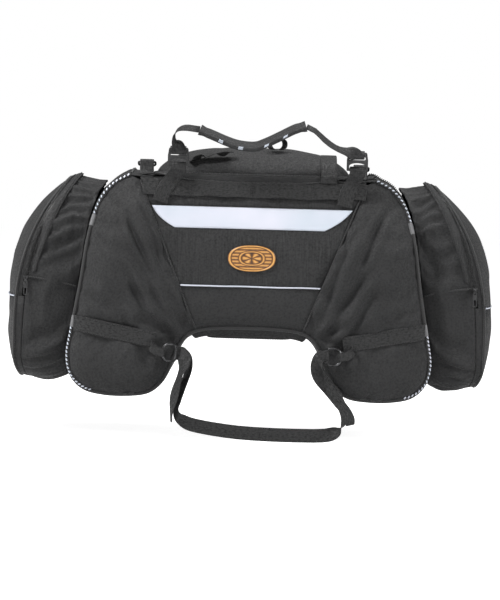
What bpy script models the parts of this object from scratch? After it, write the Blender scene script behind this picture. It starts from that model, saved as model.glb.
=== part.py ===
"""Motorcycle tail bag: a saddle-shaped duffel that straddles the rear seat.

Metres, +Z up. The origin is the centre of the seat pad's flat underside, the face with the badge
looks along -Y, and +X runs to the bag's right-hand end pocket. The body is an arch of fabric panels
with two legs, a zipped lid on top, a zipped pocket on each end, a carry handle on the front edge and
a strap that hangs between two D-rings to pass under the seat.
"""
import math

import bpy
import bmesh
import numpy as np
from mathutils import Vector

# ---- driving dimensions -------------------------------------------------------------------------
HALF_DEPTH = 0.145          # seat centre to the front or back piping
LEAN = 0.016                # how far the upper body leans in on each side
LEAN_FROM, LEAN_TO = 0.13, 0.25
WALL = 0.004                # padded fabric wall
SWELL, SWELL_REACH = 0.016, 0.05   # front and back panels stand proud by SWELL, SWELL_REACH from an edge
EDGE_INSET = 0.0045         # panel edges stay this far inside the outline, beside the piping
SEAM_GAP = 0.0005           # half the gap between two sewn panels
PIPING_R = 0.00225
WEBBING = 0.025             # width of the body's webbing
WEB_THICK = 0.0015
SEAM_TOP = (0.174, 0.245)   # slanted front seam, x and z
SEAM_FOOT_X = 0.0826
LOWER_TOP, BAND_FOOT, BODY_TOP = 0.085, 0.208, 0.250
SHOULDER_IN, SHOULDER_OUT = 0.158, 0.1862   # the shoulder panels, from the lid to the gusset

# Half of the body's outline, x, z and the side wall's swell: shoulder, leg, then up to the arch centre.
HALF_OUTLINE = [
    (0.190, 0.2530, 0.006), (0.217, 0.2370, 0.006), (0.237, 0.2100, 0.008), (0.252, 0.1600, 0.010),
    (0.263, 0.0850, 0.012), (0.276, 0.0080, 0.012), (0.281, -0.0300, 0.010), (0.274, -0.0600, 0.008),
    (0.254, -0.0800, 0.006), (0.222, -0.0875, 0.005), (0.185, -0.0880, 0.005), (0.155, -0.0830, 0.005),
    (0.135, -0.0670, 0.005), (0.123, -0.0450, 0.005), (0.113, -0.0180, 0.006), (0.100, 0.0030, 0.009),
    (0.080, 0.0145, 0.012), (0.045, 0.0190, 0.014), (0.0, 0.0200, 0.014),
]
LEG_FOOT = 11                              # outline point where gusset and saddle panel meet
ARCH = len(HALF_OUTLINE) - 1
OUTLINE = HALF_OUTLINE + [(-x, z, s) for x, z, s in reversed(HALF_OUTLINE[:-1])]

# Lid and main zip
LID_A, LID_B, LID_POWER = 0.152, 0.134, 7
LID_RIM, LID_RISE = 0.254, 0.042
LID_HINGE = (0.0, 0.134, 0.250)

# End pockets: a dome seen from the end, with its centre at z POCKET_Z
POCKET_Z = 0.059
POCKET_HALF, POCKET_UP, POCKET_DOWN = 0.125, 0.184, 0.127
POCKET_BULGE = 0.016
POCKET_WALL = 0.003
ZIP_R = 0.0013

# Handle
HANDLE_HINGE = (0.0, -0.158, 0.270)
LOCK_X = {"left": -0.1165, "right": 0.160}
STRAP_FOOT_X = {"left": -0.1437, "right": 0.1418}

# Strap that passes under the seat
SWING = (0.0, -0.170, -0.020)
RING_WIRE = 0.0016
RING_BAR_X = {"left": -0.1125, "right": 0.1225}
RING_SIZE = (0.0105, 0.0130)               # half length along x, half height
STRAP_W, STRAP_T = 0.0215, 0.0015
HAIRPIN = 0.0034                           # radius of the strap's turn round a ring's bar

SIDES = {"left": -1, "right": 1}


# ---- scene and materials ------------------------------------------------------------------------
for stale in list(bpy.data.objects):
    bpy.data.objects.remove(stale, do_unlink=True)


def material(name, colour, roughness, metallic=0.0):
    """Principled material with one colour, roughness and metallic value."""
    made = bpy.data.materials.new(name)
    made.use_nodes = True
    shader = made.node_tree.nodes["Principled BSDF"]
    shader.inputs["Base Color"].default_value = (*colour, 1.0)
    shader.inputs["Roughness"].default_value = roughness
    shader.inputs["Metallic"].default_value = metallic
    return made


BODY_FABRIC = material("body_fabric", (0.030, 0.030, 0.032), 0.85)
RIB_FABRIC = material("rib_fabric", (0.036, 0.036, 0.038), 0.8)
WEB = material("webbing", (0.026, 0.026, 0.028), 0.8)
REFLECTIVE = material("reflective", (0.72, 0.74, 0.78), 0.35)
BADGE = material("badge", (0.58, 0.31, 0.09), 0.5)
PLASTIC = material("plastic", (0.02, 0.02, 0.022), 0.4)
RING_METAL = material("ring_metal", (0.16, 0.16, 0.17), 0.35, 0.9)
ZIP = material("zip", (0.02, 0.02, 0.02), 0.6)
PIPING = material("piping", (0.02, 0.02, 0.022), 0.6)
GRIP = material("grip", (0.05, 0.05, 0.052), 0.75)
PAD = material("seat_pad", (0.03, 0.03, 0.03), 0.9)


# ---- curves -------------------------------------------------------------------------------------
def spline(points, count, first=0, last=None, trim=0.0):
    """Catmull-Rom curve between two of its points, read at `count` even steps along its length."""
    pts = np.asarray(points, float)
    last = len(pts) - 1 if last is None else last
    ext = np.vstack([2 * pts[0] - pts[1], pts, 2 * pts[-1] - pts[-2]])
    fine = []
    for i in range(first, last):
        p0, p1, p2, p3 = ext[i:i + 4]
        for t in np.linspace(0, 1, 24, endpoint=False):
            fine.append(0.5 * (2 * p1 + (p2 - p0) * t + (2 * p0 - 5 * p1 + 4 * p2 - p3) * t * t
                               + (3 * p1 - p0 - 3 * p2 + p3) * t ** 3))
    fine.append(pts[last])
    return resample(np.array(fine), count, trim)


def resample(points, count, trim=0.0):
    """A polyline read at `count` even steps, leaving `trim` off each end."""
    pts = np.asarray(points, float)
    along = np.r_[0, np.cumsum(np.linalg.norm(np.diff(pts, axis=0), axis=1))]
    at = np.linspace(trim, along[-1] - trim, count)
    return np.column_stack([np.interp(at, along, pts[:, k]) for k in range(pts.shape[1])])


def inward(curve):
    """Unit vectors in x and z that point from the outline into the bag."""
    tangent = np.gradient(curve[:, :2], axis=0)
    tangent /= np.linalg.norm(tangent, axis=1)[:, None]
    return np.column_stack([tangent[:, 1], -tangent[:, 0]])


def inset(curve, distance):
    """The x, z outline moved into the bag."""
    return curve[:, :2] + inward(curve) * distance


def superellipse(angle, a, b, power):
    """Point of a superellipse at an angle in radians."""
    c, s = math.cos(angle), math.sin(angle)
    return (a * math.copysign(abs(c) ** (2 / power), c), b * math.copysign(abs(s) ** (2 / power), s))


PANEL_EDGE = inset(spline(OUTLINE, 420), EDGE_INSET)


# ---- body surfaces ------------------------------------------------------------------------------
def half_depth(z):
    """Half of the body's depth at the piping, at height z."""
    t = min(max((z - LEAN_FROM) / (LEAN_TO - LEAN_FROM), 0.0), 1.0)
    return HALF_DEPTH - LEAN * t * t * (3 - 2 * t)


def front_y(x, z):
    """The front panels' surface: quarter-round towards the piping, then flat."""
    reach = float(np.min(np.hypot(PANEL_EDGE[:, 0] - x, PANEL_EDGE[:, 1] - z))) / SWELL_REACH
    return -(half_depth(z) + SWELL * math.sqrt(1 - (1 - min(reach, 1.0)) ** 2))


def side_point(x, z, swell, normal, y):
    """A point of the gusset or saddle panel, which swell out between the two pipings."""
    out = swell * (1 - (y / half_depth(z)) ** 2)
    return (x - normal[0] * out, y, z - normal[1] * out)


def side_rows(first, last, count, columns, trim=SEAM_GAP):
    """Grid of the wall that follows the outline between two of its points."""
    curve = spline(OUTLINE, count, first, last, trim)
    rows = []
    for (x, z, swell), normal in zip(curve, inward(curve)):
        edge = half_depth(z) - EDGE_INSET
        rows.append([side_point(x, z, swell, normal, y) for y in np.linspace(-edge, edge, columns)])
    return rows


def seam_x(z):
    """Half width between the two slanted front seams at height z."""
    t = (z - SEAM_FOOT_Z) / (SEAM_TOP[1] - SEAM_FOOT_Z)
    return SEAM_FOOT_X + (SEAM_TOP[0] - SEAM_FOOT_X) * t


def edge_between(first, last, count=80):
    """The panels' edge line, x and z, between two outline points."""
    return inset(spline(OUTLINE, count, first, last), EDGE_INSET)


INNER_LEG = edge_between(LEG_FOOT, ARCH)
SEAM_FOOT_Z = float(np.interp(-SEAM_FOOT_X, -INNER_LEG[:, 0], INNER_LEG[:, 1]))


# ---- solids -------------------------------------------------------------------------------------
def link(name, data, finish):
    """Put mesh or curve data in the scene under the node's name."""
    made = bpy.data.objects.new(name, data)
    made.data.materials.append(finish)
    bpy.context.collection.objects.link(made)
    return made


def grid_mesh(rows, wrap=False, ends=False):
    """Mesh of quads between rows of points; wrap joins each row's ends, ends caps the first and last."""
    mesh = bmesh.new()
    verts = [[mesh.verts.new(p) for p in row] for row in rows]
    columns = len(rows[0])
    for low, high in zip(verts, verts[1:]):
        for j in range(columns if wrap else columns - 1):
            k = (j + 1) % columns
            mesh.faces.new((low[j], low[k], high[k], high[j]))
    if ends:
        mesh.faces.new(verts[0])
        mesh.faces.new(verts[-1])
    bmesh.ops.remove_doubles(mesh, verts=mesh.verts, dist=1e-6)
    bmesh.ops.recalc_face_normals(mesh, faces=mesh.faces)
    return mesh


def finish_mesh(mesh, name, finish, smooth=True):
    """Turn a bmesh into a named object, smooth except at sharp edges."""
    data = bpy.data.meshes.new(name)
    mesh.to_mesh(data)
    mesh.free()
    if smooth:
        data.shade_smooth()
        data.set_sharp_from_angle(angle=math.radians(35))
    return link(name, data, finish)


def sheet(name, rows, thickness, finish, inside, wrap=False):
    """A wall whose outer face is the grid and whose thickness goes in, towards `inside`."""
    mesh = grid_mesh(rows, wrap)
    away = sum(f.normal.dot(f.calc_center_median() - Vector(inside)) * f.calc_area() for f in mesh.faces)
    if away < 0:
        bmesh.ops.reverse_faces(mesh, faces=mesh.faces)
    made = finish_mesh(mesh, name, finish)
    wall = made.modifiers.new("wall", "SOLIDIFY")
    wall.thickness = thickness
    wall.offset = -1
    return made


def slab(name, rows, shift, finish):
    """A closed solid between a grid and the same grid moved by `shift`."""
    mesh = grid_mesh(rows)
    grown = bmesh.ops.extrude_face_region(mesh, geom=list(mesh.faces), use_keep_orig=True)
    moved = [v for v in grown["geom"] if isinstance(v, bmesh.types.BMVert)]
    bmesh.ops.translate(mesh, verts=moved, vec=shift)
    bmesh.ops.recalc_face_normals(mesh, faces=mesh.faces)
    return finish_mesh(mesh, name, finish)


def ribbon(name, path, across, width, thickness, finish):
    """Flat webbing along a path; `across` gives the direction of its width at each point."""
    path = np.asarray(path, float)
    across = np.asarray(across, float)
    if across.ndim == 1:
        across = np.tile(across, (len(path), 1))
    tangent = np.gradient(path, axis=0)
    rows = []
    for point, along, wide in zip(path, tangent, across):
        along = along / np.linalg.norm(along)
        wide = wide - along * wide.dot(along)
        wide = wide / np.linalg.norm(wide) * width / 2
        thick = np.cross(along, wide)
        thick = thick / np.linalg.norm(thick) * thickness / 2
        rows.append([point + wide + thick, point - wide + thick, point - wide - thick,
                     point + wide - thick])
    return finish_mesh(grid_mesh(rows, wrap=True, ends=True), name, finish)


def tube(name, points, radius, finish, sides=2, cyclic=False):
    """Round cord, wire or piping: a poly curve with a bevel and filled caps."""
    data = bpy.data.curves.new(name, "CURVE")
    data.dimensions = "3D"
    data.bevel_depth = radius
    data.bevel_resolution = sides
    data.use_fill_caps = not cyclic
    run = data.splines.new("POLY")
    run.points.add(len(points) - 1)
    for place, point in zip(run.points, points):
        place.co = (*point, 1.0)
    run.use_cyclic_u = cyclic
    return link(name, data, finish)


def block(name, low, high, finish, bevel=0.0):
    """A box between two corners, with its edges rounded."""
    mesh = bmesh.new()
    bmesh.ops.create_cube(mesh, size=1.0)
    size = [b - a for a, b in zip(low, high)]
    centre = [(a + b) / 2 for a, b in zip(low, high)]
    bmesh.ops.scale(mesh, verts=mesh.verts, vec=size)
    bmesh.ops.translate(mesh, verts=mesh.verts, vec=centre)
    if bevel:
        bmesh.ops.bevel(mesh, geom=list(mesh.edges), offset=bevel, segments=1, affect="EDGES")
    return finish_mesh(mesh, name, finish, smooth=False)


# ---- body panels --------------------------------------------------------------------------------
def panel(name, outline_rows, face, finish):
    """A front (face -1) or back (face 1) panel over rows of x, z points."""
    rows = [[(x, -face * front_y(x, z), z) for x, z in row] for row in outline_rows]
    return slab(name, rows, (0, -face * WALL, 0), finish)


def between(low, high, count, columns):
    """Rows of x, z points from one boundary line to another."""
    low, high = resample(low, columns), resample(high, columns)
    return [low + (high - low) * t for t in np.linspace(0, 1, count)]


def leg_rows(side):
    """Rows across a leg panel, from the slanted seam and inner leg to the outer edge."""
    foot = np.argmin(np.abs(INNER_LEG[:, 0] - SEAM_FOOT_X))
    seam = resample([SEAM_TOP, (SEAM_FOOT_X + SEAM_GAP, SEAM_FOOT_Z)], 20) + (SEAM_GAP, 0)
    inner = resample(np.vstack([seam, INNER_LEG[foot - 1:1:-1]]), 14)
    outer = resample(edge_between(0, 9), 14)
    rows = [resample([a, b], 7) for a, b in zip(inner, outer)]
    return [[(side * x, z) for x, z in row] for row in rows]


def centre_rows(z_low, z_high, count):
    """Rows between the slanted seams from one height to another."""
    rows = []
    for z in np.linspace(z_low + SEAM_GAP, z_high - SEAM_GAP, count):
        half = seam_x(z) - SEAM_GAP
        rows.append([(x, z) for x in np.linspace(-half, half, 9)])
    return rows


def lower_rows(z_high, count):
    """Rows from the arch's edge line up to a level line between the seams."""
    foot = np.argmin(np.abs(INNER_LEG[:, 0] - SEAM_FOOT_X)) + 1
    half = INNER_LEG[foot:]
    arch = np.vstack([half * (-1, 1), half[::-1][1:]])
    top = seam_x(z_high) - SEAM_GAP
    return between(arch, [(-top, z_high - SEAM_GAP), (top, z_high - SEAM_GAP)], count, 11)


def body_panels():
    """Front and back: a centre between the slanted seams and a leg panel on each side."""
    for side, sign in SIDES.items():
        panel(f"front_{side}_panel", leg_rows(sign), -1, BODY_FABRIC)
        panel(f"back_{side}_panel", leg_rows(sign), 1, BODY_FABRIC)
    panel("front_lower_panel", lower_rows(LOWER_TOP, 5), -1, BODY_FABRIC)
    panel("front_mid_panel", centre_rows(LOWER_TOP, BAND_FOOT, 5), -1, RIB_FABRIC)
    panel("front_top_band", centre_rows(BAND_FOOT, BODY_TOP, 4), -1, RIB_FABRIC)
    panel("back_center_panel", lower_rows(BODY_TOP, 10), 1, BODY_FABRIC)


def walls():
    """Gussets round the legs, the saddle panel through the arch, the shoulders, pad and board."""
    sheet("gusset_right", side_rows(0, LEG_FOOT, 20, 5), WALL, BODY_FABRIC, (0.2, 0, 0.06))
    left_foot = 2 * ARCH - LEG_FOOT
    sheet("gusset_left", side_rows(left_foot, 2 * ARCH, 20, 5), WALL, BODY_FABRIC, (-0.2, 0, 0.06))
    sheet("saddle_panel", side_rows(LEG_FOOT, left_foot, 23, 5, 0.0018), WALL, BODY_FABRIC, (0, 0, 0.4))
    for side, sign in SIDES.items():
        rows = []
        for x in np.linspace(SHOULDER_IN, SHOULDER_OUT, 4):
            edge = -front_y(x, 0.246) - WALL - 0.0030
            t = (x - SHOULDER_IN) / (SHOULDER_OUT - SHOULDER_IN)
            crown = [0.0040 * t * (1 - (y / edge) ** 2) for y in np.linspace(-edge, edge, 7)]
            rows.append([(sign * x, y, 0.2512 + 0.0020 * t + up)
                         for y, up in zip(np.linspace(-edge, edge, 7), crown)])
        sheet(f"shoulder_{side}", rows, WALL * 0.75, BODY_FABRIC, (0, 0, 0.1))
    block("saddle_board", (-0.074, -0.125, 0.0256), (0.074, 0.125, 0.0286), PLASTIC, 0.0008)


def seat_pad():
    """Grippy pad under the arch: flat below, and shaped to the saddle panel above."""
    half_x, half_y, gap = 0.068, 0.100, 0.0006
    curve = spline(OUTLINE, 60, LEG_FOOT, 2 * ARCH - LEG_FOOT)
    normals = inward(curve)
    rows = []
    for y in np.linspace(-half_y, half_y, 9):
        saddle = np.array([side_point(x, z, s, n, y) for (x, z, s), n in zip(curve, normals)])
        order = np.argsort(saddle[:, 0])
        xs = np.linspace(-half_x, half_x, 9)
        tops = np.interp(xs, saddle[order, 0], saddle[order, 2]) - gap
        rows.append([(x, y, top) for x, top in zip(xs, tops)])
    mesh = grid_mesh(rows)
    grown = bmesh.ops.extrude_face_region(mesh, geom=list(mesh.faces), use_keep_orig=True)
    for vert in grown["geom"]:
        if isinstance(vert, bmesh.types.BMVert):
            vert.co.z = 0.0
    bmesh.ops.recalc_face_normals(mesh, faces=mesh.faces)
    finish_mesh(mesh, "seat_pad", PAD)


def piping():
    """Cord sewn along the whole outline, front and back."""
    curve = spline(OUTLINE, 58)
    line = inset(curve, 0.0006)
    for name, face in (("piping_front", -1), ("piping_back", 1)):
        points = [(x, face * (half_depth(z) - 0.001), z) for x, z in line]
        tube(name, points, PIPING_R, PIPING, sides=1)


# ---- trim on the front --------------------------------------------------------------------------
def on_front(x, z, proud):
    """A point that stands `proud` in front of the front panels."""
    return (x, front_y(x, z) - proud, z)


def belt_path(xs, zs):
    """Centre line of webbing that lies flat on the front, clear of it over its whole width."""
    reach = WEBBING / 2
    return [(x, min(front_y(x, z + up) for up in (-reach, 0, reach)) - 0.0014, z) for x, z in zip(xs, zs)]


def front_trim():
    """Reflective band and piping, badge, load webbing and the belts across the legs."""
    rows = []
    for t in np.linspace(0, 1, 4):
        z = 0.1735 + (0.2065 - 0.1735) * t
        left, right = -0.122 - 0.033 * t, 0.110 + 0.0445 * t
        rows.append([on_front(x, z, 0.0010) for x in np.linspace(left, right, 11)])
    slab("reflective_band", rows, (0, 0.0006, 0), REFLECTIVE)
    half = seam_x(LOWER_TOP) - 0.003
    tube("reflective_piping", [on_front(x, LOWER_TOP, 0.0017) for x in np.linspace(-half, half, 15)],
         0.0012, REFLECTIVE, sides=1)
    badge = [superellipse(math.tau * i / 28, 0.037, 0.0205, 2.3) for i in range(28)]
    mesh = grid_mesh([[(0.0010 + x, y, 0.1285 + z) for x, z in badge] for y in (-0.1645, -0.1620)],
                     wrap=True, ends=True)
    finish_mesh(mesh, "badge", BADGE)
    ribbon("molle_webbing", belt_path(np.linspace(-0.166, 0.170, 15), np.full(15, 0.2345)), (0, 0, 1),
           WEBBING, WEB_THICK, WEB)
    for side, sign in SIDES.items():
        path = belt_path(sign * np.linspace(0.266, 0.1425, 10), np.linspace(0.0205, -0.003, 10))
        ribbon(f"leg_belt_{side}", path, (0, 0, 1), WEBBING, WEB_THICK, WEB)


# ---- lid ----------------------------------------------------------------------------------------
def lid_z(x, y):
    """Height of the lid's top surface."""
    r = ((abs(x) / LID_A) ** LID_POWER + (abs(y) / LID_B) ** LID_POWER) ** (1 / LID_POWER)
    return LID_RIM + LID_RISE * max(1 - r ** 3, 0.0) ** 0.6


def lid():
    """Padded lid, its front storm flap, the strap and loop on it, and the zip round three sides."""
    angles = [math.tau * i / 28 for i in range(28)]
    rows = []
    for r in (1.0, 0.975, 0.9, 0.72, 0.42, 0.0):
        ring = [superellipse(a, LID_A * r, LID_B * r, LID_POWER) for a in angles]
        rows.append([(x, y, lid_z(x, y)) for x, y in ring])
    sheet("lid_panel", rows, WALL, RIB_FABRIC, (0, 0, 0.1), wrap=True)
    rows = []
    for angle in np.radians(np.linspace(-164, -16, 23)):
        inner = superellipse(angle, LID_A + 0.0010, LID_B + 0.0012, LID_POWER)
        outer = superellipse(angle, LID_A + 0.0050, 0.1472, LID_POWER)
        hem = superellipse(angle, LID_A + 0.0065, 0.1484, LID_POWER)
        drop = 0.0085 * (abs(hem[1]) / 0.1484) ** 24
        rows.append([(*inner, 0.2578), (*outer, 0.2574), (*hem, 0.2568 - drop)])
    sheet("lid_flap", rows, 0.0013, BODY_FABRIC, (0, 0, 0.1))
    path = [(0.117, y, lid_z(0.104, y) + 0.0020) for y in np.linspace(-0.060, -0.1285, 7)]
    path += [(0.117, -0.1370, 0.2614), (0.117, -0.1440, 0.2604), (0.117, -0.1490, 0.2580),
             (0.117, -0.1503, 0.2540), (0.117, -0.1506, 0.2496)]
    ribbon("lid_strap", path, (1, 0, 0), WEBBING, WEB_THICK, WEB)
    loop = [superellipse(math.radians(a), 0.013, 0.009, 2.4) for a in range(-60, 241, 25)]
    top = lid_z(0.036, -0.06)
    path = [(0.036 + x, -0.060, top + 0.0112 + z) for x, z in loop]
    ribbon("lid_loop", path, (0, 1, 0), 0.020, 0.0014, WEB)
    run = np.radians(np.linspace(-225, 45, 31))
    track = [superellipse(a, LID_A + 0.003, LID_B + 0.0035, LID_POWER) for a in run]
    tube("main_zip", [(x, y, 0.2515) for x, y in track], ZIP_R, ZIP, sides=1)


def main_slider():
    """Slider on the right-hand run of the main zip and the pull that lies over the shoulder."""
    block("main_slider", (0.1538, -0.078, 0.2544), (0.1628, -0.066, 0.2590), PLASTIC, 0.0008)
    block("main_pull", (0.1600, -0.0755, 0.2598), (0.1840, -0.0685, 0.2616), PLASTIC, 0.0005)


# ---- end pockets --------------------------------------------------------------------------------
def dome(angle, scale=1.0):
    """Point of the pocket's dome outline, y and z, at an angle from +Y."""
    up = math.sin(angle) >= 0
    tall, power = (POCKET_UP, 2.7) if up else (POCKET_DOWN, 5)
    y, z = superellipse(angle, POCKET_HALF * scale, tall * scale, power)
    return y, POCKET_Z + z


def seam_at(z):
    """Distance of the pocket face's edge seam from the middle, at height z."""
    upper = 0.075 * max(0.0, z / 0.24) ** 2.6
    lower = 0.014 * max(0.0, (-0.03 - z) / 0.042) ** 2
    return 0.3665 - upper - lower


SIDE_WALL = spline(OUTLINE, 90, 0, 9)
SIDE_WALL_IN = inward(SIDE_WALL)


def wall_x(y, z):
    """Distance of the body's side wall from the middle."""
    points = [side_point(x, h, s, n, y) for (x, h, s), n in zip(SIDE_WALL, SIDE_WALL_IN)]
    line = np.array([(p[0], p[2]) for p in points])
    line = line[:int(np.argmin(line[:, 1])) + 1][::-1]
    return float(np.interp(z, line[:, 1], line[:, 0]))


def pocket_side(angle, v, sign):
    """Point of the pocket's gusset: v is 0 at the body and 1 at the face's seam."""
    seam_y, seam_z = dome(angle)
    wall_y, wall_z = dome(angle, 0.985)
    inner_z = POCKET_Z + (wall_z - POCKET_Z) * 0.96
    wall = max(wall_x(wall_y, wall_z), wall_x(wall_y, inner_z)) + 0.0022
    swell = 0.006 * 4 * v * (1 - v)
    y = wall_y + (seam_y - wall_y) * v
    z = wall_z + (seam_z - wall_z) * v
    reach = math.hypot(y, z - POCKET_Z)
    x = wall + (seam_at(seam_z) - wall) * v
    return (sign * x, y * (1 + swell / reach), z + (z - POCKET_Z) * swell / reach)


def pocket_face(angle, r, sign):
    """Point of the pocket's bulged outer face, r from 0 at its centre to 1 at the seam."""
    y, z = dome(angle, r)
    edge_z = dome(angle)[1]
    base = seam_at(POCKET_Z) + (seam_at(edge_z) - seam_at(POCKET_Z)) * r ** 2.6
    return (sign * (base + POCKET_BULGE * (1 - r * r) ** 0.6), y, z)


def pocket_half(name, start, stop, skirt, sign, finish):
    """Half of the face with its strip of gusset; the upper half is the zipped flap."""
    angles = np.radians(np.linspace(start, stop, 13))
    rows = [[pocket_side(a, skirt, sign) for a in angles]]
    rows += [[pocket_face(a, r, sign) for a in angles] for r in (1.0, 0.9, 0.7, 0.4, 0.0)]
    split = 0.0006 if stop <= 180 else -0.0006
    rows = [[(x, y, z + split) for x, y, z in row] for row in rows]
    return sheet(name, rows, POCKET_WALL * 0.8, finish, (sign * 0.25, 0, POCKET_Z))


def pockets():
    """An end pocket on each side: fixed gusset and lower face, zipped flap, zip, slider and pull."""
    for side, sign in SIDES.items():
        angles = np.radians(np.linspace(0, 360, 24, endpoint=False))
        rows = [[pocket_side(a, v, sign) for a in angles] for v in (0, 0.3, 0.6, 0.82)]
        middle = (sign * 0.3, 0, POCKET_Z)
        sheet(f"pocket_gusset_{side}", rows, POCKET_WALL * 0.8, BODY_FABRIC, middle, wrap=True)
        pocket_half(f"pocket_lower_{side}", 180, 360, 0.85, sign, BODY_FABRIC)
        pocket_half(f"pocket_flap_{side}", 0, 180, 0.90, sign, BODY_FABRIC)
        track = [pocket_side(a, 0.868, sign) for a in np.radians(np.linspace(2.5, 177.5, 20))]
        tube(f"pocket_zip_{side}", [(x, y, z - 0.0002) for x, y, z in track], ZIP_R, ZIP, sides=1)
        x, y, z = pocket_side(math.radians(180 - 4.0), 0.868, sign)
        x, front = abs(x), -abs(y) - 0.0030
        low, high = sorted((sign * (x - 0.0045), sign * (x + 0.0045)))
        block(f"pocket_slider_{side}", (low, front - 0.0040, z - 0.006), (high, front, z + 0.006),
              PLASTIC, 0.0008)
        low, high = sorted((sign * (x - 0.0032), sign * (x + 0.0032)))
        block(f"pocket_pull_{side}", (low, front - 0.0062, z - 0.0240), (high, front - 0.0046, z - 0.0010),
              PLASTIC, 0.0004)


# ---- handle -------------------------------------------------------------------------------------
def ladder_lock(name, x):
    """Flat buckle with two slots; its lowest bar is the handle's hinge."""
    half_w, rail, half_t = 0.0165, 0.0035, 0.002
    cuts_x = [x - half_w, x - half_w + rail, x, x + half_w - rail, x + half_w]
    cuts_z = [HANDLE_HINGE[2] + dz for dz in (-0.002, 0.002, 0.0085, 0.0125, 0.0190, 0.0270)]
    mesh = bmesh.new()
    verts = {(i, j): mesh.verts.new((cx, HANDLE_HINGE[1] - half_t, cz))
             for i, cx in enumerate(cuts_x) for j, cz in enumerate(cuts_z)}
    for i in range(len(cuts_x) - 1):
        for j in range(len(cuts_z) - 1):
            if j in (1, 3) and i in (1, 2):
                continue
            mesh.faces.new((verts[i, j], verts[i + 1, j], verts[i + 1, j + 1], verts[i, j + 1]))
    grown = bmesh.ops.extrude_face_region(mesh, geom=list(mesh.faces), use_keep_orig=True)
    moved = [v for v in grown["geom"] if isinstance(v, bmesh.types.BMVert)]
    bmesh.ops.translate(mesh, verts=moved, vec=(0, 2 * half_t, 0))
    bmesh.ops.recalc_face_normals(mesh, faces=mesh.faces)
    return finish_mesh(mesh, name, PLASTIC, smooth=False)


def handle():
    """Front straps, ladder locks, and a webbing handle with a padded grip that hangs between them."""
    y, hinge_z = HANDLE_HINGE[1], HANDLE_HINGE[2]
    for side in SIDES:
        ladder_lock(f"ladder_lock_{side}", LOCK_X[side])
        foot, top = STRAP_FOOT_X[side], LOCK_X[side]
        reach = 0.0042
        path = [(foot, -0.1515, 0.2165), (foot + (top - foot) * 0.2, -0.1517, 0.2300),
                (foot + (top - foot) * 0.65, -0.1530, 0.2480), (top, y - reach, 0.2620)]
        path += [(top, y - reach * math.cos(a), hinge_z + reach * math.sin(a))
                 for a in np.radians(range(0, 181, 30))]
        path.append((top, y + reach, 0.2610))
        ribbon(f"front_strap_{side}", path, (1, 0, 0), 0.0235, WEB_THICK, WEB)
    left = [(-0.1175, -0.1622, 0.2915), (-0.1190, -0.1642, 0.2985), (-0.1235, -0.1660, 0.3060),
            (-0.1235, -0.1660, 0.3160), (-0.1180, -0.1660, 0.3240), (-0.1080, -0.1660, 0.3275),
            (-0.0970, -0.1660, 0.3272), (-0.0885, -0.1660, 0.3262)]
    wide = [(1.0, 0.0, 0.1), (0.85, 0.5, 0.1), (0.3, 0.95, 0.1), (0.1, 0.99, 0.1), (0, 0.97, 0.2),
            (0, 0.94, 0.35), (0, 0.93, 0.38), (0, 0.93, 0.38)]
    both = spline(np.hstack([left, wide]), 20)
    ribbon("handle_web_left", both[:, :3], both[:, 3:], WEBBING, WEB_THICK, WEB)
    right = [(0.0840, -0.1660, 0.3330), (0.0900, -0.1660, 0.3305), (0.1000, -0.1660, 0.3225),
             (0.1130, -0.1660, 0.3110), (0.1280, -0.1660, 0.3020), (0.1420, -0.1650, 0.2975),
             (0.1530, -0.1630, 0.2935), (0.1580, -0.1625, 0.2900)]
    wide = [(0, 0.93, 0.38), (0, 0.93, 0.38), (0, 0.9, 0.42), (0, 0.88, 0.46), (0, 0.9, 0.4),
            (0.1, 0.8, 0.55), (0.4, 0.25, 0.85), (0.55, 0, 0.8)]
    both = spline(np.hstack([right, wide]), 20)
    ribbon("handle_web_right", both[:, :3], both[:, 3:], 0.022, WEB_THICK, WEB)
    grip = spline([(-0.0845, -0.1665, 0.3252), (-0.0620, -0.1665, 0.3165), (-0.0434, -0.1665, 0.3090),
                   (-0.0233, -0.1665, 0.3030), (0.0, -0.1665, 0.3015), (0.0155, -0.1665, 0.3065),
                   (0.0388, -0.1665, 0.3180), (0.0620, -0.1665, 0.3300), (0.0790, -0.1665, 0.3350)], 18)
    ribbon("handle_grip", grip, (0, 0.93, 0.38), 0.028, 0.0065, GRIP)


# ---- D-rings and the strap under the seat -------------------------------------------------------
def d_ring(centre, half_long, half_tall, bar_side, flat):
    """Points of a D-ring: its straight bar lies on bar_side of x, its crown opposite.

    flat is False for a ring in the x-z plane and True for one that lies back along y.
    """
    points = []
    for angle in np.radians(np.linspace(0, 360, 18, endpoint=False)):
        bar = math.cos(angle) >= 0
        along, tall = superellipse(angle, half_long, half_tall, 6 if bar else 2.2)
        along *= bar_side
        if flat:
            drop = 0.35 * (along - bar_side * half_long)
            points.append((centre[0] + tall, centre[1] + along, centre[2] - drop))
        else:
            points.append((centre[0] + along, centre[1], centre[2] + tall))
    return points


def strap_rings():
    """The two D-rings at the arch's corners with the tabs that tie them to the leg belts."""
    for side, sign in SIDES.items():
        bar_x = RING_BAR_X[side]
        centre = (bar_x + sign * RING_SIZE[0], SWING[1], SWING[2])
        tube(f"lower_ring_{side}", d_ring(centre, *RING_SIZE, -sign, flat=False), RING_WIRE, RING_METAL,
             sides=1, cyclic=True)
        crown = bar_x + sign * 2 * RING_SIZE[0]
        turn = [(crown - sign * HAIRPIN * math.cos(a), SWING[1] + HAIRPIN * math.sin(a), SWING[2])
                for a in np.radians([90, 60, 30, 0, -30, -60, -90])]
        path = [(crown + sign * 0.0085, SWING[1] + 0.0030, SWING[2])] + turn
        path.append((crown + sign * 0.0085, SWING[1] - 0.0026, SWING[2]))
        ribbon(f"ring_tab_{side}", path, (0, 0, 1), 0.009, 0.0012, WEB)


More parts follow.
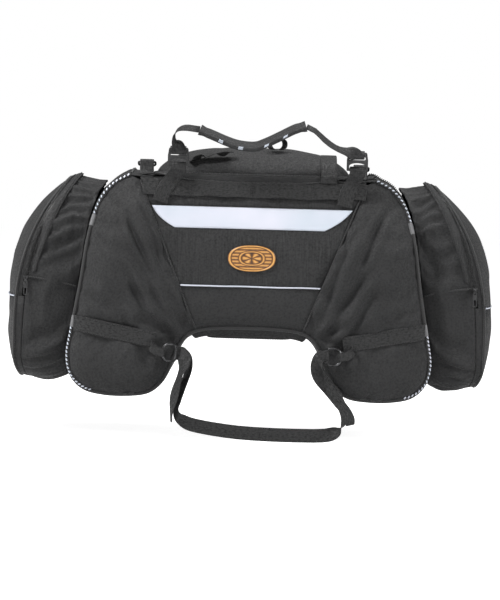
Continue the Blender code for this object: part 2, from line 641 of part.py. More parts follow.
def hairpin(bar_x, sign, front_first):
    """The strap's turn round a ring's bar, from one leaf to the other."""
    turn = [(bar_x + sign * HAIRPIN * math.sin(a), SWING[1] - HAIRPIN * math.cos(a), -0.0205)
            for a in np.radians([0, 30, 60, 90, 120, 150, 180])]
    return turn if front_first else turn[::-1]


# Route of the strap, point by point: x, y, z and the direction of its width.
STRAP_LEFT = [
    (-0.1075, -0.1660, -0.0210, 0.00, -0.05, 1.00), (-0.1020, -0.1648, -0.0235, 0.30, -0.10, 0.95),
    (-0.0965, -0.1638, -0.0300, 0.62, -0.30, 0.72), (-0.0930, -0.1640, -0.0400, 0.65, -0.72, 0.22),
    (-0.0930, -0.1650, -0.0500, 0.50, -0.86, 0.00), (-0.0962, -0.1670, -0.0600, 0.50, -0.86, 0.00),
    (-0.1010, -0.1685, -0.0710, 0.60, -0.80, 0.00), (-0.1055, -0.1690, -0.0830, 0.64, -0.77, 0.00),
    (-0.1090, -0.1695, -0.0950, 0.62, -0.78, 0.00), (-0.1103, -0.1700, -0.1070, 0.40, -0.90, 0.10),
    (-0.1072, -0.1700, -0.1172, 0.35, -0.72, 0.55), (-0.0995, -0.1700, -0.1243, 0.22, -0.40, 0.88),
    (-0.0868, -0.1700, -0.1304, 0.10, -0.10, 0.98), (-0.0620, -0.1700, -0.1353, 0.00, 0.00, 1.00),
]
STRAP_CROSS = [
    (-0.0300, -0.1700, -0.1395, 0.0, 0.04, 1.0), (0.0000, -0.1700, -0.1420, 0.0, 0.08, 1.0),
    (0.0400, -0.1700, -0.1433, 0.0, 0.08, 1.0), (0.0775, -0.1700, -0.1435, 0.0, 0.08, 1.0),
    (0.1080, -0.1700, -0.1430, 0.0, 0.10, 1.0), (0.1270, -0.1700, -0.1410, 0.05, 0.20, 0.97),
]
STRAP_RIGHT = [
    (0.1410, -0.1700, -0.1350, 0.25, 0.60, 0.75), (0.1485, -0.1700, -0.1265, 0.42, 0.86, 0.25),
    (0.1508, -0.1700, -0.1173, 0.45, 0.89, 0.00), (0.1500, -0.1700, -0.1060, 0.62, 0.78, -0.10),
    (0.1457, -0.1700, -0.0946, 0.75, 0.52, -0.40), (0.1389, -0.1705, -0.0843, 0.80, 0.25, -0.50),
    (0.1312, -0.1720, -0.0730, 0.80, 0.35, -0.40), (0.1255, -0.1735, -0.0617, 0.60, 0.78, -0.10),
    (0.1205, -0.1755, -0.0490, 0.30, 0.95, 0.10), (0.1150, -0.1775, -0.0385, -0.20, 0.90, 0.35),
    (0.1110, -0.1770, -0.0290, -0.45, 0.60, 0.65), (0.1122, -0.1745, -0.0225, -0.20, 0.20, 0.95),
]
TAIL_LEFT = [
    (-0.1048, -0.1737, -0.0207, 0.00, 0.00, 1.00), (-0.1022, -0.1750, -0.0216, 0.20, 0.00, 0.97),
    (-0.0988, -0.1790, -0.0280, 0.66, 0.05, 0.74), (-0.1000, -0.1800, -0.0380, 0.72, -0.50, 0.35),
    (-0.1038, -0.1782, -0.0500, 0.38, -0.92, 0.00), (-0.1072, -0.1757, -0.0630, 0.40, -0.91, 0.00),
    (-0.1105, -0.1740, -0.0760, 0.55, -0.83, 0.00), (-0.1132, -0.1725, -0.0880, 0.60, -0.80, 0.00),
    (-0.1155, -0.1712, -0.1000, 0.45, -0.89, 0.00), (-0.1167, -0.1703, -0.1100, 0.25, -0.96, 0.00),
    (-0.1170, -0.1700, -0.1190, 0.15, -0.98, 0.00), (-0.1166, -0.1700, -0.1275, 0.12, -0.99, 0.00),
]
TAIL_RIGHT = [
    (0.1154, -0.1665, -0.0209, 0.00, 0.03, 1.00), (0.1110, -0.1655, -0.0225, -0.25, 0.10, 0.95),
    (0.1075, -0.1625, -0.0290, -0.60, 0.20, 0.70), (0.1070, -0.1590, -0.0390, -0.85, 0.15, 0.20),
    (0.1100, -0.1560, -0.0500, -0.90, -0.10, 0.30), (0.1190, -0.1540, -0.0640, -0.82, -0.30, 0.35),
    (0.1310, -0.1535, -0.0790, -0.78, -0.30, 0.45), (0.1430, -0.1530, -0.0930, -0.78, -0.30, 0.45),
    (0.1535, -0.1520, -0.1055, -0.75, -0.40, 0.40), (0.1600, -0.1510, -0.1170, -0.65, -0.60, 0.20),
    (0.1610, -0.1505, -0.1270, -0.60, -0.75, 0.00),
]


def strap():
    """The under-seat strap, turned round the bars of both rings, and its two loose tails."""
    upright = (0.0, 0.0, 1.0)
    left_turn = [(*p, *upright) for p in hairpin(RING_BAR_X["left"], -1, True)]
    right_turn = [(*p, *upright) for p in hairpin(RING_BAR_X["right"], 1, True)]
    start = [(-0.1108, -0.1735, -0.0206, *upright)]
    end = [(0.1185, -0.1666, -0.0206, *upright)]
    route = np.array(start + left_turn + STRAP_LEFT + STRAP_CROSS + STRAP_RIGHT + right_turn + end)
    fine = spline(route, 64)
    ribbon("under_seat_strap", fine[:, :3], fine[:, 3:], STRAP_W, STRAP_T, WEB)
    for name, tail in (("strap_tail_left", TAIL_LEFT), ("strap_tail_right", TAIL_RIGHT)):
        fine = spline(tail, 16)
        ribbon(name, fine[:, :3], fine[:, 3:], STRAP_W, STRAP_T, WEB)


def shoulder_rings():
    """A D-ring on each shoulder for a carrying strap, held by a loop of webbing."""
    bar_y, bar_z, turn = -0.118, 0.273, 0.0034
    for side, sign in SIDES.items():
        x = sign * 0.1660
        centre = (x, bar_y + 0.0105, bar_z)
        tube(f"shoulder_ring_{side}", d_ring(centre, 0.0105, 0.0130, -1, flat=True), RING_WIRE, RING_METAL,
             sides=1, cyclic=True)
        arc = [(x, bar_y - turn * math.cos(a), bar_z + turn * math.sin(a))
               for a in np.radians(range(0, 181, 30))]
        path = [(x, -0.1268, 0.2560), (x, -0.1240, 0.2620)] + arc
        path += [(x, -0.1135, 0.2630), (x, -0.1085, 0.2575)]
        ribbon(f"shoulder_webbing_{side}", path, (1, 0, 0), 0.0215, WEB_THICK, WEB)


body_panels()
walls()
seat_pad()
piping()
front_trim()
lid()
main_slider()
pockets()
handle()
strap_rings()
strap()
shoulder_rings()
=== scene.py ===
"""Looks of the motorcycle tail bag: fabric, webbing, zips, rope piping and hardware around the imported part.

Metres, +Z up, the face with the badge looks along -Y. The body's surfaces repeat the part's own
formulas on finer grids, with folds, seams and a cloth simulation on top.
"""
import math

import bmesh
import bpy
import numpy as np
from mathutils import Euler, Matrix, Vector


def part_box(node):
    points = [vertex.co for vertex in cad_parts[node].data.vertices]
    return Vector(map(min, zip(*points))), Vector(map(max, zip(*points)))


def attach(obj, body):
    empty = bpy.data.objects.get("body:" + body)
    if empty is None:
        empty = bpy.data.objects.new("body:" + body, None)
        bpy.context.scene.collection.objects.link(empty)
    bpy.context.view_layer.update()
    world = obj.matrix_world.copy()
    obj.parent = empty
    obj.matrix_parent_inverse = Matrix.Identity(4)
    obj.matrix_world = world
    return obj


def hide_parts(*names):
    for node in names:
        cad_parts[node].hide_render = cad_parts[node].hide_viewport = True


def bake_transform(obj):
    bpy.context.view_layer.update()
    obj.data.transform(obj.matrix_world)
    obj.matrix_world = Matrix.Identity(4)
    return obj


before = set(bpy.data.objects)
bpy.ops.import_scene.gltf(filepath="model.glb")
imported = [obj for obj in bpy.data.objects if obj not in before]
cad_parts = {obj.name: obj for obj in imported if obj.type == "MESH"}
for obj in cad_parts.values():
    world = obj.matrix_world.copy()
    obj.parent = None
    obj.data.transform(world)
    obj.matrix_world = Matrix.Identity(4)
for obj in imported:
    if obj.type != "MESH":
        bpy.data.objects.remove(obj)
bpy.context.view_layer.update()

# ---- dimensions shared with the part --------------------------------------------------------------
HALF_DEPTH, LEAN, LEAN_FROM, LEAN_TO = 0.145, 0.016, 0.13, 0.25
SWELL, SWELL_REACH = 0.016, 0.05
EDGE_INSET = 0.0022
WEBBING, WEB_THICK = 0.025, 0.0015
SEAM_TOP, SEAM_FOOT_X = (0.174, 0.245), 0.0826
LOWER_TOP, BAND_FOOT, BODY_TOP = 0.085, 0.208, 0.250
SHOULDER_IN, SHOULDER_OUT = 0.156, 0.1898
HALF_OUTLINE = [
    (0.190, 0.2530, 0.006), (0.217, 0.2370, 0.006), (0.237, 0.2100, 0.008), (0.252, 0.1600, 0.010),
    (0.263, 0.0850, 0.012), (0.276, 0.0080, 0.012), (0.281, -0.0300, 0.010), (0.274, -0.0600, 0.008),
    (0.254, -0.0800, 0.006), (0.222, -0.0875, 0.005), (0.185, -0.0880, 0.005), (0.155, -0.0830, 0.005),
    (0.135, -0.0670, 0.005), (0.123, -0.0450, 0.005), (0.113, -0.0180, 0.006), (0.100, 0.0030, 0.009),
    (0.080, 0.0145, 0.012), (0.045, 0.0190, 0.014), (0.0, 0.0200, 0.014),
]
LEG_END, LEG_FOOT, ARCH = 10, 11, len(HALF_OUTLINE) - 1
OUTLINE = HALF_OUTLINE + [(-x, z, s) for x, z, s in reversed(HALF_OUTLINE[:-1])]
LID_A, LID_B, LID_POWER, LID_RIM, LID_RISE = 0.152, 0.134, 7, 0.254, 0.042
POCKET_Z, POCKET_HALF, POCKET_UP, POCKET_DOWN, POCKET_BULGE = 0.059, 0.125, 0.184, 0.127, 0.016
HANDLE_Y, HANDLE_Z = -0.158, 0.270
LOCK_X = {"left": -0.1165, "right": 0.160}
STRAP_FOOT_X = {"left": -0.1437, "right": 0.1418}
SWING_Y, SWING_Z = -0.170, -0.020
RING_BAR_X = {"left": -0.1125, "right": 0.1225}
RING_WIRE, RING_LONG, RING_TALL = 0.0017, 0.0105, 0.0130
STRAP_W, STRAP_T, HAIRPIN = 0.0215, 0.0015, 0.0034
SHOULDER_RING_X, SHOULDER_RING_Y, SHOULDER_RING_Z = 0.1660, -0.118, 0.273
PAD_POWER = 9
SIDES = {"left": -1, "right": 1}
ENDS = {"front": -1, "back": 1}        # which way each face of the body looks along y

# ---- dimensions of the looks alone ----------------------------------------------------------------
PANEL_CLOTH, WALL_CLOTH, POCKET_CLOTH = 0.0022, 0.0024, 0.0020
SEAM_PULL = 0.022                      # folds of a leg panel die out over this distance from its edge
FLAT_BAND_LOW, FLAT_BAND_HIGH = 0.1735, 0.2065
LOAD_Z, LOAD_ENDS, BAR_TACKS = 0.2345, (-0.171, 0.176), (-0.0977, -0.0008, 0.0930)
BADGE_X, BADGE_Z, BADGE_A, BADGE_B, BADGE_BACK_Y = 0.0010, 0.1285, 0.037, 0.0205, -0.1615
LID_STRAP_X, LOOP_X, LOOP_Y = 0.117, 0.036, -0.060
PIPING_RADIUS = 0.0034
BAND_IN, BAND_OUT, BAND_AT_SLIDER, ZIP_V = 0.66, 0.955, 0.80, 0.868     # places across a pocket's gusset
BOSS_X, BOSS_Z = 0.0128, 0.0225        # round bosses on a ladder lock, with their radii and heights
BOSS_PROFILE = ((0.0024, 0.0020), (0.0023, 0.0029), (0.0015, 0.0031), (0.0012, 0.0026), (0.0, 0.0025))
GRIP_ACROSS = (0, 0.93, 0.38)          # direction of the grip's width
FRAMES = 22                            # length of the cloth simulation
FLOOR_Z = -0.158


# ---- curves and surfaces --------------------------------------------------------------------------
def travelled(path):
    """Distance along a polyline at each of its points."""
    return np.r_[0, np.cumsum(np.linalg.norm(np.diff(path, axis=0), axis=1))]


def unit(rows):
    """Each row scaled to length 1."""
    return rows / np.linalg.norm(rows, axis=1)[:, None]


def resample(points, count, measured=None):
    """A polyline read at `count` even steps, measured on its first columns or on all of them."""
    pts = np.asarray(points, float)
    along = travelled(pts[:, :measured])
    at = np.linspace(0, along[-1], count)
    return np.column_stack([np.interp(at, along, pts[:, k]) for k in range(pts.shape[1])])


def spline(points, count, first=0, last=None):
    """Catmull-Rom curve between two of its points, read at `count` even steps."""
    pts = np.asarray(points, float)
    last = len(pts) - 1 if last is None else last
    ext = np.vstack([2 * pts[0] - pts[1], pts, 2 * pts[-1] - pts[-2]])
    fine = []
    for i in range(first, last):
        p0, p1, p2, p3 = ext[i:i + 4]
        for t in np.linspace(0, 1, 24, endpoint=False):
            fine.append(0.5 * (2 * p1 + (p2 - p0) * t + (2 * p0 - 5 * p1 + 4 * p2 - p3) * t * t
                               + (3 * p1 - p0 - 3 * p2 + p3) * t ** 3))
    fine.append(pts[last])
    return resample(fine, count)


def length_of(path):
    """Length of a polyline."""
    return float(np.linalg.norm(np.diff(np.asarray(path)[:, :3], axis=0), axis=1).sum())


def inward(curve):
    """Unit vectors in x and z that point from the outline into the bag."""
    tangent = unit(np.gradient(curve[:, :2], axis=0))
    return np.column_stack([tangent[:, 1], -tangent[:, 0]])


def edge_between(first, last, count=120):
    """The panels' edge line, x and z, between two outline points."""
    curve = spline(OUTLINE, count, first, last)
    return curve[:, :2] + inward(curve) * EDGE_INSET


def superellipse(angle, a, b, power):
    """Point of a superellipse at an angle in radians."""
    c, s = np.cos(angle), np.sin(angle)
    return a * np.sign(c) * np.abs(c) ** (2 / power), b * np.sign(s) * np.abs(s) ** (2 / power)


def smooth(t):
    """0 below 0, 1 above 1, an S between."""
    t = np.clip(t, 0, 1)
    return t * t * (3 - 2 * t)


def half_depth(z):
    """Half of the body's depth at the piping, at height z."""
    return HALF_DEPTH - LEAN * smooth((np.asarray(z, float) - LEAN_FROM) / (LEAN_TO - LEAN_FROM))


PANEL_EDGE = edge_between(0, 2 * ARCH, 420)
INNER_LEG = edge_between(LEG_END, ARCH)
SEAM_FOOT_Z = float(np.interp(-SEAM_FOOT_X, -INNER_LEG[:, 0], INNER_LEG[:, 1]))


def edge_distance(x, z):
    """Distance from the panels' edge line."""
    flat = np.column_stack([np.ravel(x), np.ravel(z)])
    near = [np.min(np.hypot(*(PANEL_EDGE - p).T)) for p in flat]
    return np.array(near).reshape(np.shape(x))


def front_depth(x, z):
    """Distance of the front or back surface from the middle plane, without folds."""
    reach = np.clip(edge_distance(x, z) / SWELL_REACH, 0, 1)
    return half_depth(z) + SWELL * np.sqrt(1 - (1 - reach) ** 2)


def seam_x(z):
    """Half width between the two slanted front seams at height z."""
    t = (z - SEAM_FOOT_Z) / (SEAM_TOP[1] - SEAM_FOOT_Z)
    return SEAM_FOOT_X + (SEAM_TOP[0] - SEAM_FOOT_X) * t


def ripple(u, v, seed, longest=0.12, shortest=0.03, count=9):
    """Smooth random relief of about -1 to 1, the same each run."""
    draw = np.random.default_rng(seed)
    total = np.zeros(np.shape(u))
    for wave in np.geomspace(longest, shortest, count):
        turn, phase = draw.uniform(0, math.tau, 2)
        total += np.sin((u * math.cos(turn) + v * math.sin(turn)) * math.tau / wave + phase) * wave / longest
    return total / 3


def valley(s, centre, width):
    """A crease of depth 1 with a soft ridge on each side."""
    off = (s - centre) / width
    return -np.exp(-off ** 2) + 0.5 * np.exp(-((np.abs(off) - 2.0) / 1.1) ** 2)


# ---- materials ------------------------------------------------------------------------------------
class Nodes:
    """A material under construction, with short calls for the nodes that all of them use."""

    def __init__(self, name, roughness, metallic=0.0, **settings):
        self.material = bpy.data.materials.new(name)
        self.material.use_nodes = True
        self.tree = self.material.node_tree
        self.shader = self.tree.nodes["Principled BSDF"]
        self.shader.inputs["Roughness"].default_value = roughness
        self.shader.inputs["Metallic"].default_value = metallic
        for socket, value in settings.items():
            self.shader.inputs[socket.replace("_", " ")].default_value = value

    def add(self, kind, **values):
        node = self.tree.nodes.new(kind)
        for key, value in values.items():
            if key in node.inputs:
                node.inputs[key].default_value = value
            else:
                setattr(node, key, value)
        return node

    def join(self, out, into):
        self.tree.links.new(out, into)

    def place(self, uv=False):
        return self.add("ShaderNodeTexCoord").outputs["UV" if uv else "Object"]

    def noise(self, scale, detail=3.0, uv=False, stretch=(1, 1, 1)):
        node = self.add("ShaderNodeTexNoise", Scale=scale, Detail=detail)
        mapping = self.add("ShaderNodeMapping", Scale=stretch)
        self.join(self.place(uv), mapping.inputs["Vector"])
        self.join(mapping.outputs[0], node.inputs["Vector"])
        return node.outputs[0]

    def wave(self, period, direction, distortion=0.0, uv=False):
        node = self.add("ShaderNodeTexWave", bands_direction=direction, Scale=math.tau / 20 / period,
                        Distortion=distortion)
        self.join(self.place(uv), node.inputs["Vector"])
        return node.outputs[1]

    def maths(self, how, a, b):
        node = self.add("ShaderNodeMath", operation=how)
        for value, socket in ((a, node.inputs[0]), (b, node.inputs[1])):
            if isinstance(value, (int, float)):
                socket.default_value = value
            else:
                self.join(value, socket)
        return node.outputs[0]

    def plus(self, a, b):
        return self.maths("ADD", a, b)

    def minus(self, a, b):
        return self.maths("SUBTRACT", a, b)

    def times(self, a, b):
        return self.maths("MULTIPLY", a, b)

    def ramp(self, factor, *stops):
        node = self.add("ShaderNodeValToRGB")
        elements = node.color_ramp.elements
        while len(elements) < len(stops):
            elements.new(0.5)
        for element, (at, colour) in zip(elements, stops):
            element.position = at
            element.color = (*colour, 1)
        self.join(factor, node.inputs[0])
        return node.outputs[0]

    def colour(self, out):
        self.join(out, self.shader.inputs["Base Color"])

    def rough(self, factor, low, high):
        node = self.add("ShaderNodeMapRange")
        node.inputs["To Min"].default_value = low
        node.inputs["To Max"].default_value = high
        self.join(factor, node.inputs["Value"])
        self.join(node.outputs[0], self.shader.inputs["Roughness"])

    def bump(self, height, distance, strength=1.0):
        node = self.add("ShaderNodeBump", Strength=strength, Distance=distance)
        self.join(height, node.inputs["Height"])
        self.join(node.outputs[0], self.shader.inputs["Normal"])
        return self.material


def grey(value, tint=(1.0, 1.0, 1.03)):
    """A near-neutral colour."""
    return tuple(value * t for t in tint)


def woven(name, value, rib=0.0, contrast=0.42, roughness=0.66):
    """Woven nylon: crossed yarns, uneven dye, a little sheen; `rib` adds an upright rib."""
    made = Nodes(name, roughness, Sheen_Weight=0.05, Sheen_Roughness=0.5, Specular_IOR_Level=0.32)
    yarn = [made.wave(0.0013, way, 1.0) for way in "XZY"]
    cross = made.plus(made.times(yarn[0], yarn[1]), made.times(yarn[2], 0.5))
    grain, blotch, speck = made.noise(620.0, 2.0), made.noise(16.0, 4.0), made.noise(300.0, 2.0)
    mixed = made.plus(made.plus(made.times(grain, 0.35), made.times(blotch, 0.30)), made.times(speck, 0.35))
    if rib:
        upright = made.noise(620.0, 1.0, stretch=(1.0, 0.4, 0.03))
        mixed = made.plus(made.times(mixed, 1 - rib), made.times(upright, rib))
        cross = made.plus(cross, made.times(upright, 2.0))
    made.colour(made.ramp(mixed, (0.32, grey(value * (1 - contrast))), (0.68, grey(value * (1 + contrast)))))
    made.rough(made.plus(made.times(made.minus(speck, 0.35), 2.6), 0.05), roughness - 0.24, roughness + 0.30)
    return made.bump(made.plus(cross, made.plus(grain, made.times(speck, 2.0))), 0.00030, 0.9)


def webbing_material(name, value):
    """Woven strap: herringbone across, ribbed edges, from the strap's own u (across) and v (along)."""
    made = Nodes(name, 0.62, Sheen_Weight=0.04, Sheen_Roughness=0.45, Specular_IOR_Level=0.45)
    yarn = made.times(made.wave(0.0018, "X", 0.6, uv=True), made.wave(0.0022, "Y", 0.6, uv=True))
    grain, blotch = made.noise(700.0, 2.0, uv=True), made.noise(30.0, 3.0)
    mixed = made.plus(made.plus(made.times(yarn, 0.35), made.times(grain, 0.4)), made.times(blotch, 0.3))
    made.colour(made.ramp(mixed, (0.25, grey(value * 0.5)), (0.75, grey(value * 1.7))))
    speck = made.noise(420.0, 2.0, uv=True, stretch=(1.0, 0.5, 1.0))
    made.rough(made.times(made.minus(speck, 0.35), 3.0), 0.36, 0.95)
    return made.bump(made.plus(yarn, made.times(speck, 2.0)), 0.0004, 0.9)


def reflective_cloth():
    """Silver glass-bead cloth, a little lilac, with faint scuffs."""
    made = Nodes("reflective_cloth", 0.42, metallic=0.15, Coat_Weight=0.15, Coat_Roughness=0.3)
    cloud = made.noise(9.0, 3.0)
    made.colour(made.ramp(cloud, (0.35, (0.50, 0.55, 0.62)), (0.65, (0.60, 0.61, 0.69))))
    made.rough(made.noise(60.0, 3.0), 0.34, 0.5)
    return made.bump(made.noise(1500.0, 1.0), 0.00008, 0.4)


def moulded(name, value, roughness=0.36, tint=(1, 1, 1.03)):
    """Satin moulded plastic with a fine grain and paler worn edges."""
    made = Nodes(name, roughness, Specular_IOR_Level=0.5)
    worn = made.add("ShaderNodeNewGeometry").outputs["Pointiness"]
    made.colour(made.ramp(worn, (0.46, grey(value, tint)), (0.60, grey(value * 2.0, tint))))
    made.rough(made.noise(140.0, 3.0), roughness - 0.07, roughness + 0.09)
    return made.bump(made.noise(1400.0, 2.0), 0.00006, 0.5)


def plated(name, dark, bright, roughness=0.28):
    """Plated wire, dark with bright rubbed places."""
    made = Nodes(name, roughness, metallic=0.92)
    made.colour(made.ramp(made.noise(120.0, 3.0), (0.35, grey(dark)), (0.7, grey(bright))))
    made.rough(made.noise(300.0, 2.0), roughness - 0.08, roughness + 0.12)
    return made.bump(made.noise(900.0, 2.0), 0.00005, 0.4)


def badge_material():
    """Tan moulded patch with painted shade from its own relief: dark brown in its grooves, lighter gold on
    its raised lines.
    """
    made = Nodes("badge_tan", 0.42, Coat_Weight=0.2, Coat_Roughness=0.35)
    relief = made.add("ShaderNodeAttribute", attribute_name="relief").outputs["Fac"]
    mottle = made.times(made.noise(260.0, 3.0), 0.25)
    # Painted shade: the ramp over the relief paints the grooves dark brown and the raised lines lighter gold.
    made.colour(made.ramp(made.plus(relief, mottle), (0.12, (0.055, 0.018, 0.004)),
                          (0.50, (0.40, 0.17, 0.03)), (1.0, (0.70, 0.37, 0.10))))
    return made.bump(made.noise(800.0, 2.0), 0.00008, 0.4)


def rope_material():
    """Braided piping cord: slanting strands."""
    made = Nodes("piping_cord", 0.6, Sheen_Weight=0.2, Specular_IOR_Level=0.4)
    strand = made.wave(0.0016, "DIAGONAL", 0.4)
    made.colour(made.ramp(made.plus(made.times(strand, 0.5), made.noise(500.0)),
                          (0.4, grey(0.006)), (1.0, grey(0.020))))
    return made.bump(strand, 0.0003, 0.8)


def pad_material():
    """Anti-slip pad: rubbery dots on a woven ground."""
    made = Nodes("grip_pad", 0.7, Specular_IOR_Level=0.45)
    cells = made.add("ShaderNodeTexVoronoi", Scale=260.0, Randomness=0.15)
    made.join(made.place(), cells.inputs["Vector"])
    made.colour(made.ramp(cells.outputs["Distance"], (0.2, grey(0.05)), (0.55, grey(0.02))))
    made.rough(made.noise(90.0), 0.6, 0.85)
    return made.bump(made.minus(1.0, cells.outputs["Distance"]), 0.0006, 0.8)


BODY = woven("body_cloth", 0.0165)
SMOOTH = woven("lower_cloth", 0.0165, contrast=0.2, roughness=0.6)
RIB = woven("rib_cloth", 0.0175, rib=0.55, contrast=0.5)
LINING = woven("lining_cloth", 0.045, contrast=0.12, roughness=0.6)
WEB = webbing_material("webbing_black", 0.0105)
GRIP = woven("grip_cloth", 0.019, rib=0.35, contrast=0.5)
SILVER = reflective_cloth()
SLEEVE = woven("piping_sleeve", 0.16, contrast=0.2)
PLASTIC = moulded("satin_plastic", 0.014)
DARK_PLASTIC = moulded("zip_plastic", 0.010, 0.42)
METAL = plated("dark_plated_wire", 0.025, 0.14)
BRIGHT = plated("bright_pull", 0.35, 0.75, 0.3)
TAN = badge_material()
ROPE = rope_material()
PAD = pad_material()
THREAD = moulded("thread", 0.030, 0.7)
TAPE = webbing_material("zip_tape", 0.010)


# ---- building pieces ------------------------------------------------------------------------------
def add_object(name, data, *materials):
    """Put mesh or curve data in the scene with its materials."""
    made = bpy.data.objects.new(name, data)
    for material in materials:
        data.materials.append(material)
    bpy.context.scene.collection.objects.link(made)
    return made


def grid_object(name, grid, *materials, wrap=False, caps=False, inside=None, uv=None):
    """Smooth mesh of quads over a grid; rows closed with `wrap`, faces turned away from `inside`."""
    grid = np.asarray(grid, float)
    rows, cols = grid.shape[:2]
    index = np.arange(rows * cols).reshape(rows, cols)
    span = cols if wrap else cols - 1
    nxt = np.roll(index, -1, axis=1) if wrap else index
    j = np.arange(span)
    right = (lambda r: nxt[r, j]) if wrap else (lambda r: index[r, j + 1])
    faces = np.vstack([np.column_stack([index[r, j], right(r), right(r + 1), index[r + 1, j]])
                       for r in range(rows - 1)])
    points = grid.reshape(-1, 3)
    if inside is not None:
        corner = points[faces]
        normal = np.cross(corner[:, 2] - corner[:, 0], corner[:, 3] - corner[:, 1])
        if np.sum(normal * (corner.mean(axis=1) - np.asarray(inside))) < 0:
            faces = faces[:, ::-1]
    listed = faces.tolist()
    if caps:
        listed += [index[0, ::-1].tolist(), index[-1].tolist()]
    mesh = bpy.data.meshes.new(name)
    mesh.from_pydata(points.tolist(), [], listed)
    if uv is not None:
        layer = mesh.uv_layers.new(name="weave")
        corner_of = np.zeros(len(mesh.loops), np.int32)
        mesh.loops.foreach_get("vertex_index", corner_of)
        layer.data.foreach_set("uv", np.asarray(uv, np.float32).reshape(-1, 2)[corner_of].ravel())
    mesh.validate()
    mesh.shade_smooth()
    return add_object(name, mesh, *materials)


def weld(piece, distance=1e-5):
    """Join the points of a mesh that lie together, and drop the faces that collapse."""
    mesh = bmesh.new()
    mesh.from_mesh(piece.data)
    bmesh.ops.remove_doubles(mesh, verts=mesh.verts, dist=distance)
    bmesh.ops.dissolve_degenerate(mesh, edges=mesh.edges, dist=distance / 2)
    mesh.to_mesh(piece.data)
    mesh.free()


def points_of(mesh):
    """Coordinates of a mesh's points."""
    return np.array([v.co for v in mesh.vertices])


def set_points(mesh, points):
    """Move a mesh's points to new coordinates."""
    mesh.vertices.foreach_set("co", points.astype(np.float32).ravel())


def thicken(piece, thickness, levels=1):
    """Give a sheet its fabric thickness, inwards, with the lining as its inner face."""
    if levels:
        finer = piece.modifiers.new("finer", "SUBSURF")
        finer.levels = finer.render_levels = levels
    wall = piece.modifiers.new("wall", "SOLIDIFY")
    wall.thickness = thickness
    wall.offset = -1
    wall.material_offset = len(piece.data.materials) - 1
    return piece


def put(piece, body, slot, *nodes):
    """Ride on a body and stand for the CAD nodes; slot is not used."""
    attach(piece, body)
    if nodes:
        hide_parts(*nodes)
    return piece


def sheet(name, grid, thickness, node=None, inside=(0, 0, 0.1), outer=BODY, body="bag", levels=1):
    """A lined fabric sheet over a grid, put on its body."""
    piece = thicken(grid_object(name, grid, outer, LINING, inside=inside), thickness, levels)
    return put(piece, body, "body_fabric", *([node] if node else []))


def ribbon(name, path, across, width, thickness, material=WEB, sides=16):
    """Webbing along a path, with rounded edges; `across` is the direction of its width at each point."""
    path = np.asarray(path, float)
    across = np.asarray(across, float)
    if across.ndim == 1:
        across = np.tile(across, (len(path), 1))
    tangent = unit(np.gradient(path, axis=0))
    wide = unit(across - tangent * np.sum(across * tangent, axis=1)[:, None])
    thick = np.cross(tangent, wide)
    width, thickness = np.broadcast_to(width, len(path)), np.broadcast_to(thickness, len(path))
    along = travelled(path)
    ring, uv = [], []
    for angle in np.arange(sides) * math.tau / sides + 1e-3:
        a, b = superellipse(angle, 0.5, 0.5, 5.0)
        ring.append(path + wide * (a * width)[:, None] + thick * (b * thickness)[:, None])
        uv.append(np.column_stack([(a + 0.5) * width, along]))
    return grid_object(name, np.stack(ring, axis=1), material, wrap=True, caps=True, uv=np.stack(uv, axis=1))


def routed(name, route, width, thickness):
    """Webbing along a route whose last three columns are the direction of its width."""
    return ribbon(name, route[:, :3], route[:, 3:], width, thickness)


def cord_curve(name, points, radius, material, cyclic=False, sides=4):
    """Round cord, wire or piping."""
    data = bpy.data.curves.new(name, "CURVE")
    data.dimensions = "3D"
    data.bevel_depth = radius
    data.bevel_resolution = sides
    data.use_fill_caps = not cyclic
    run = data.splines.new("POLY")
    run.points.add(len(points) - 1)
    for place, point in zip(run.points, points):
        place.co = (*point, 1.0)
    run.use_cyclic_u = cyclic
    run.use_smooth = True
    return add_object(name, data, material)


def plate(name, loops, depth, bevel, material):
    """A flat moulded piece from an outline and its holes, in its own x-z plane, with rounded edges."""
    data = bpy.data.curves.new(name, "CURVE")
    data.dimensions = "2D"
    data.fill_mode = "BOTH"
    data.extrude = depth / 2 - bevel
    data.bevel_depth = bevel
    data.bevel_resolution = 2
    data.offset = -bevel
    for loop in loops:
        run = data.splines.new("POLY")
        run.points.add(len(loop) - 1)
        for point, (x, z) in zip(run.points, loop):
            point.co = (x, z, 0, 1)
        run.use_cyclic_u = True
    shape = add_object(name + "_curve", data, material)
    shape.rotation_euler = (math.pi / 2, 0, 0)
    bpy.context.view_layer.update()
    mesh = bpy.data.meshes.new_from_object(shape.evaluated_get(bpy.context.evaluated_depsgraph_get()))
    mesh.transform(shape.matrix_world)
    bpy.data.objects.remove(shape)
    made = add_object(name, mesh)
    weld(made, 2e-6)
    made.data.shade_smooth()
    made.data.set_sharp_from_angle(angle=math.radians(40))
    return made


def rounded(x0, x1, z0, z1, radius, steps=5):
    """Rounded rectangle, counter-clockwise."""
    loop = []
    for cx, cz, start in ((x1 - radius, z1 - radius, 0), (x0 + radius, z1 - radius, 90),
                          (x0 + radius, z0 + radius, 180), (x1 - radius, z0 + radius, 270)):
        for angle in np.radians(np.linspace(start, start + 90, steps)):
            loop.append((cx + radius * math.cos(angle), cz + radius * math.sin(angle)))
    return loop


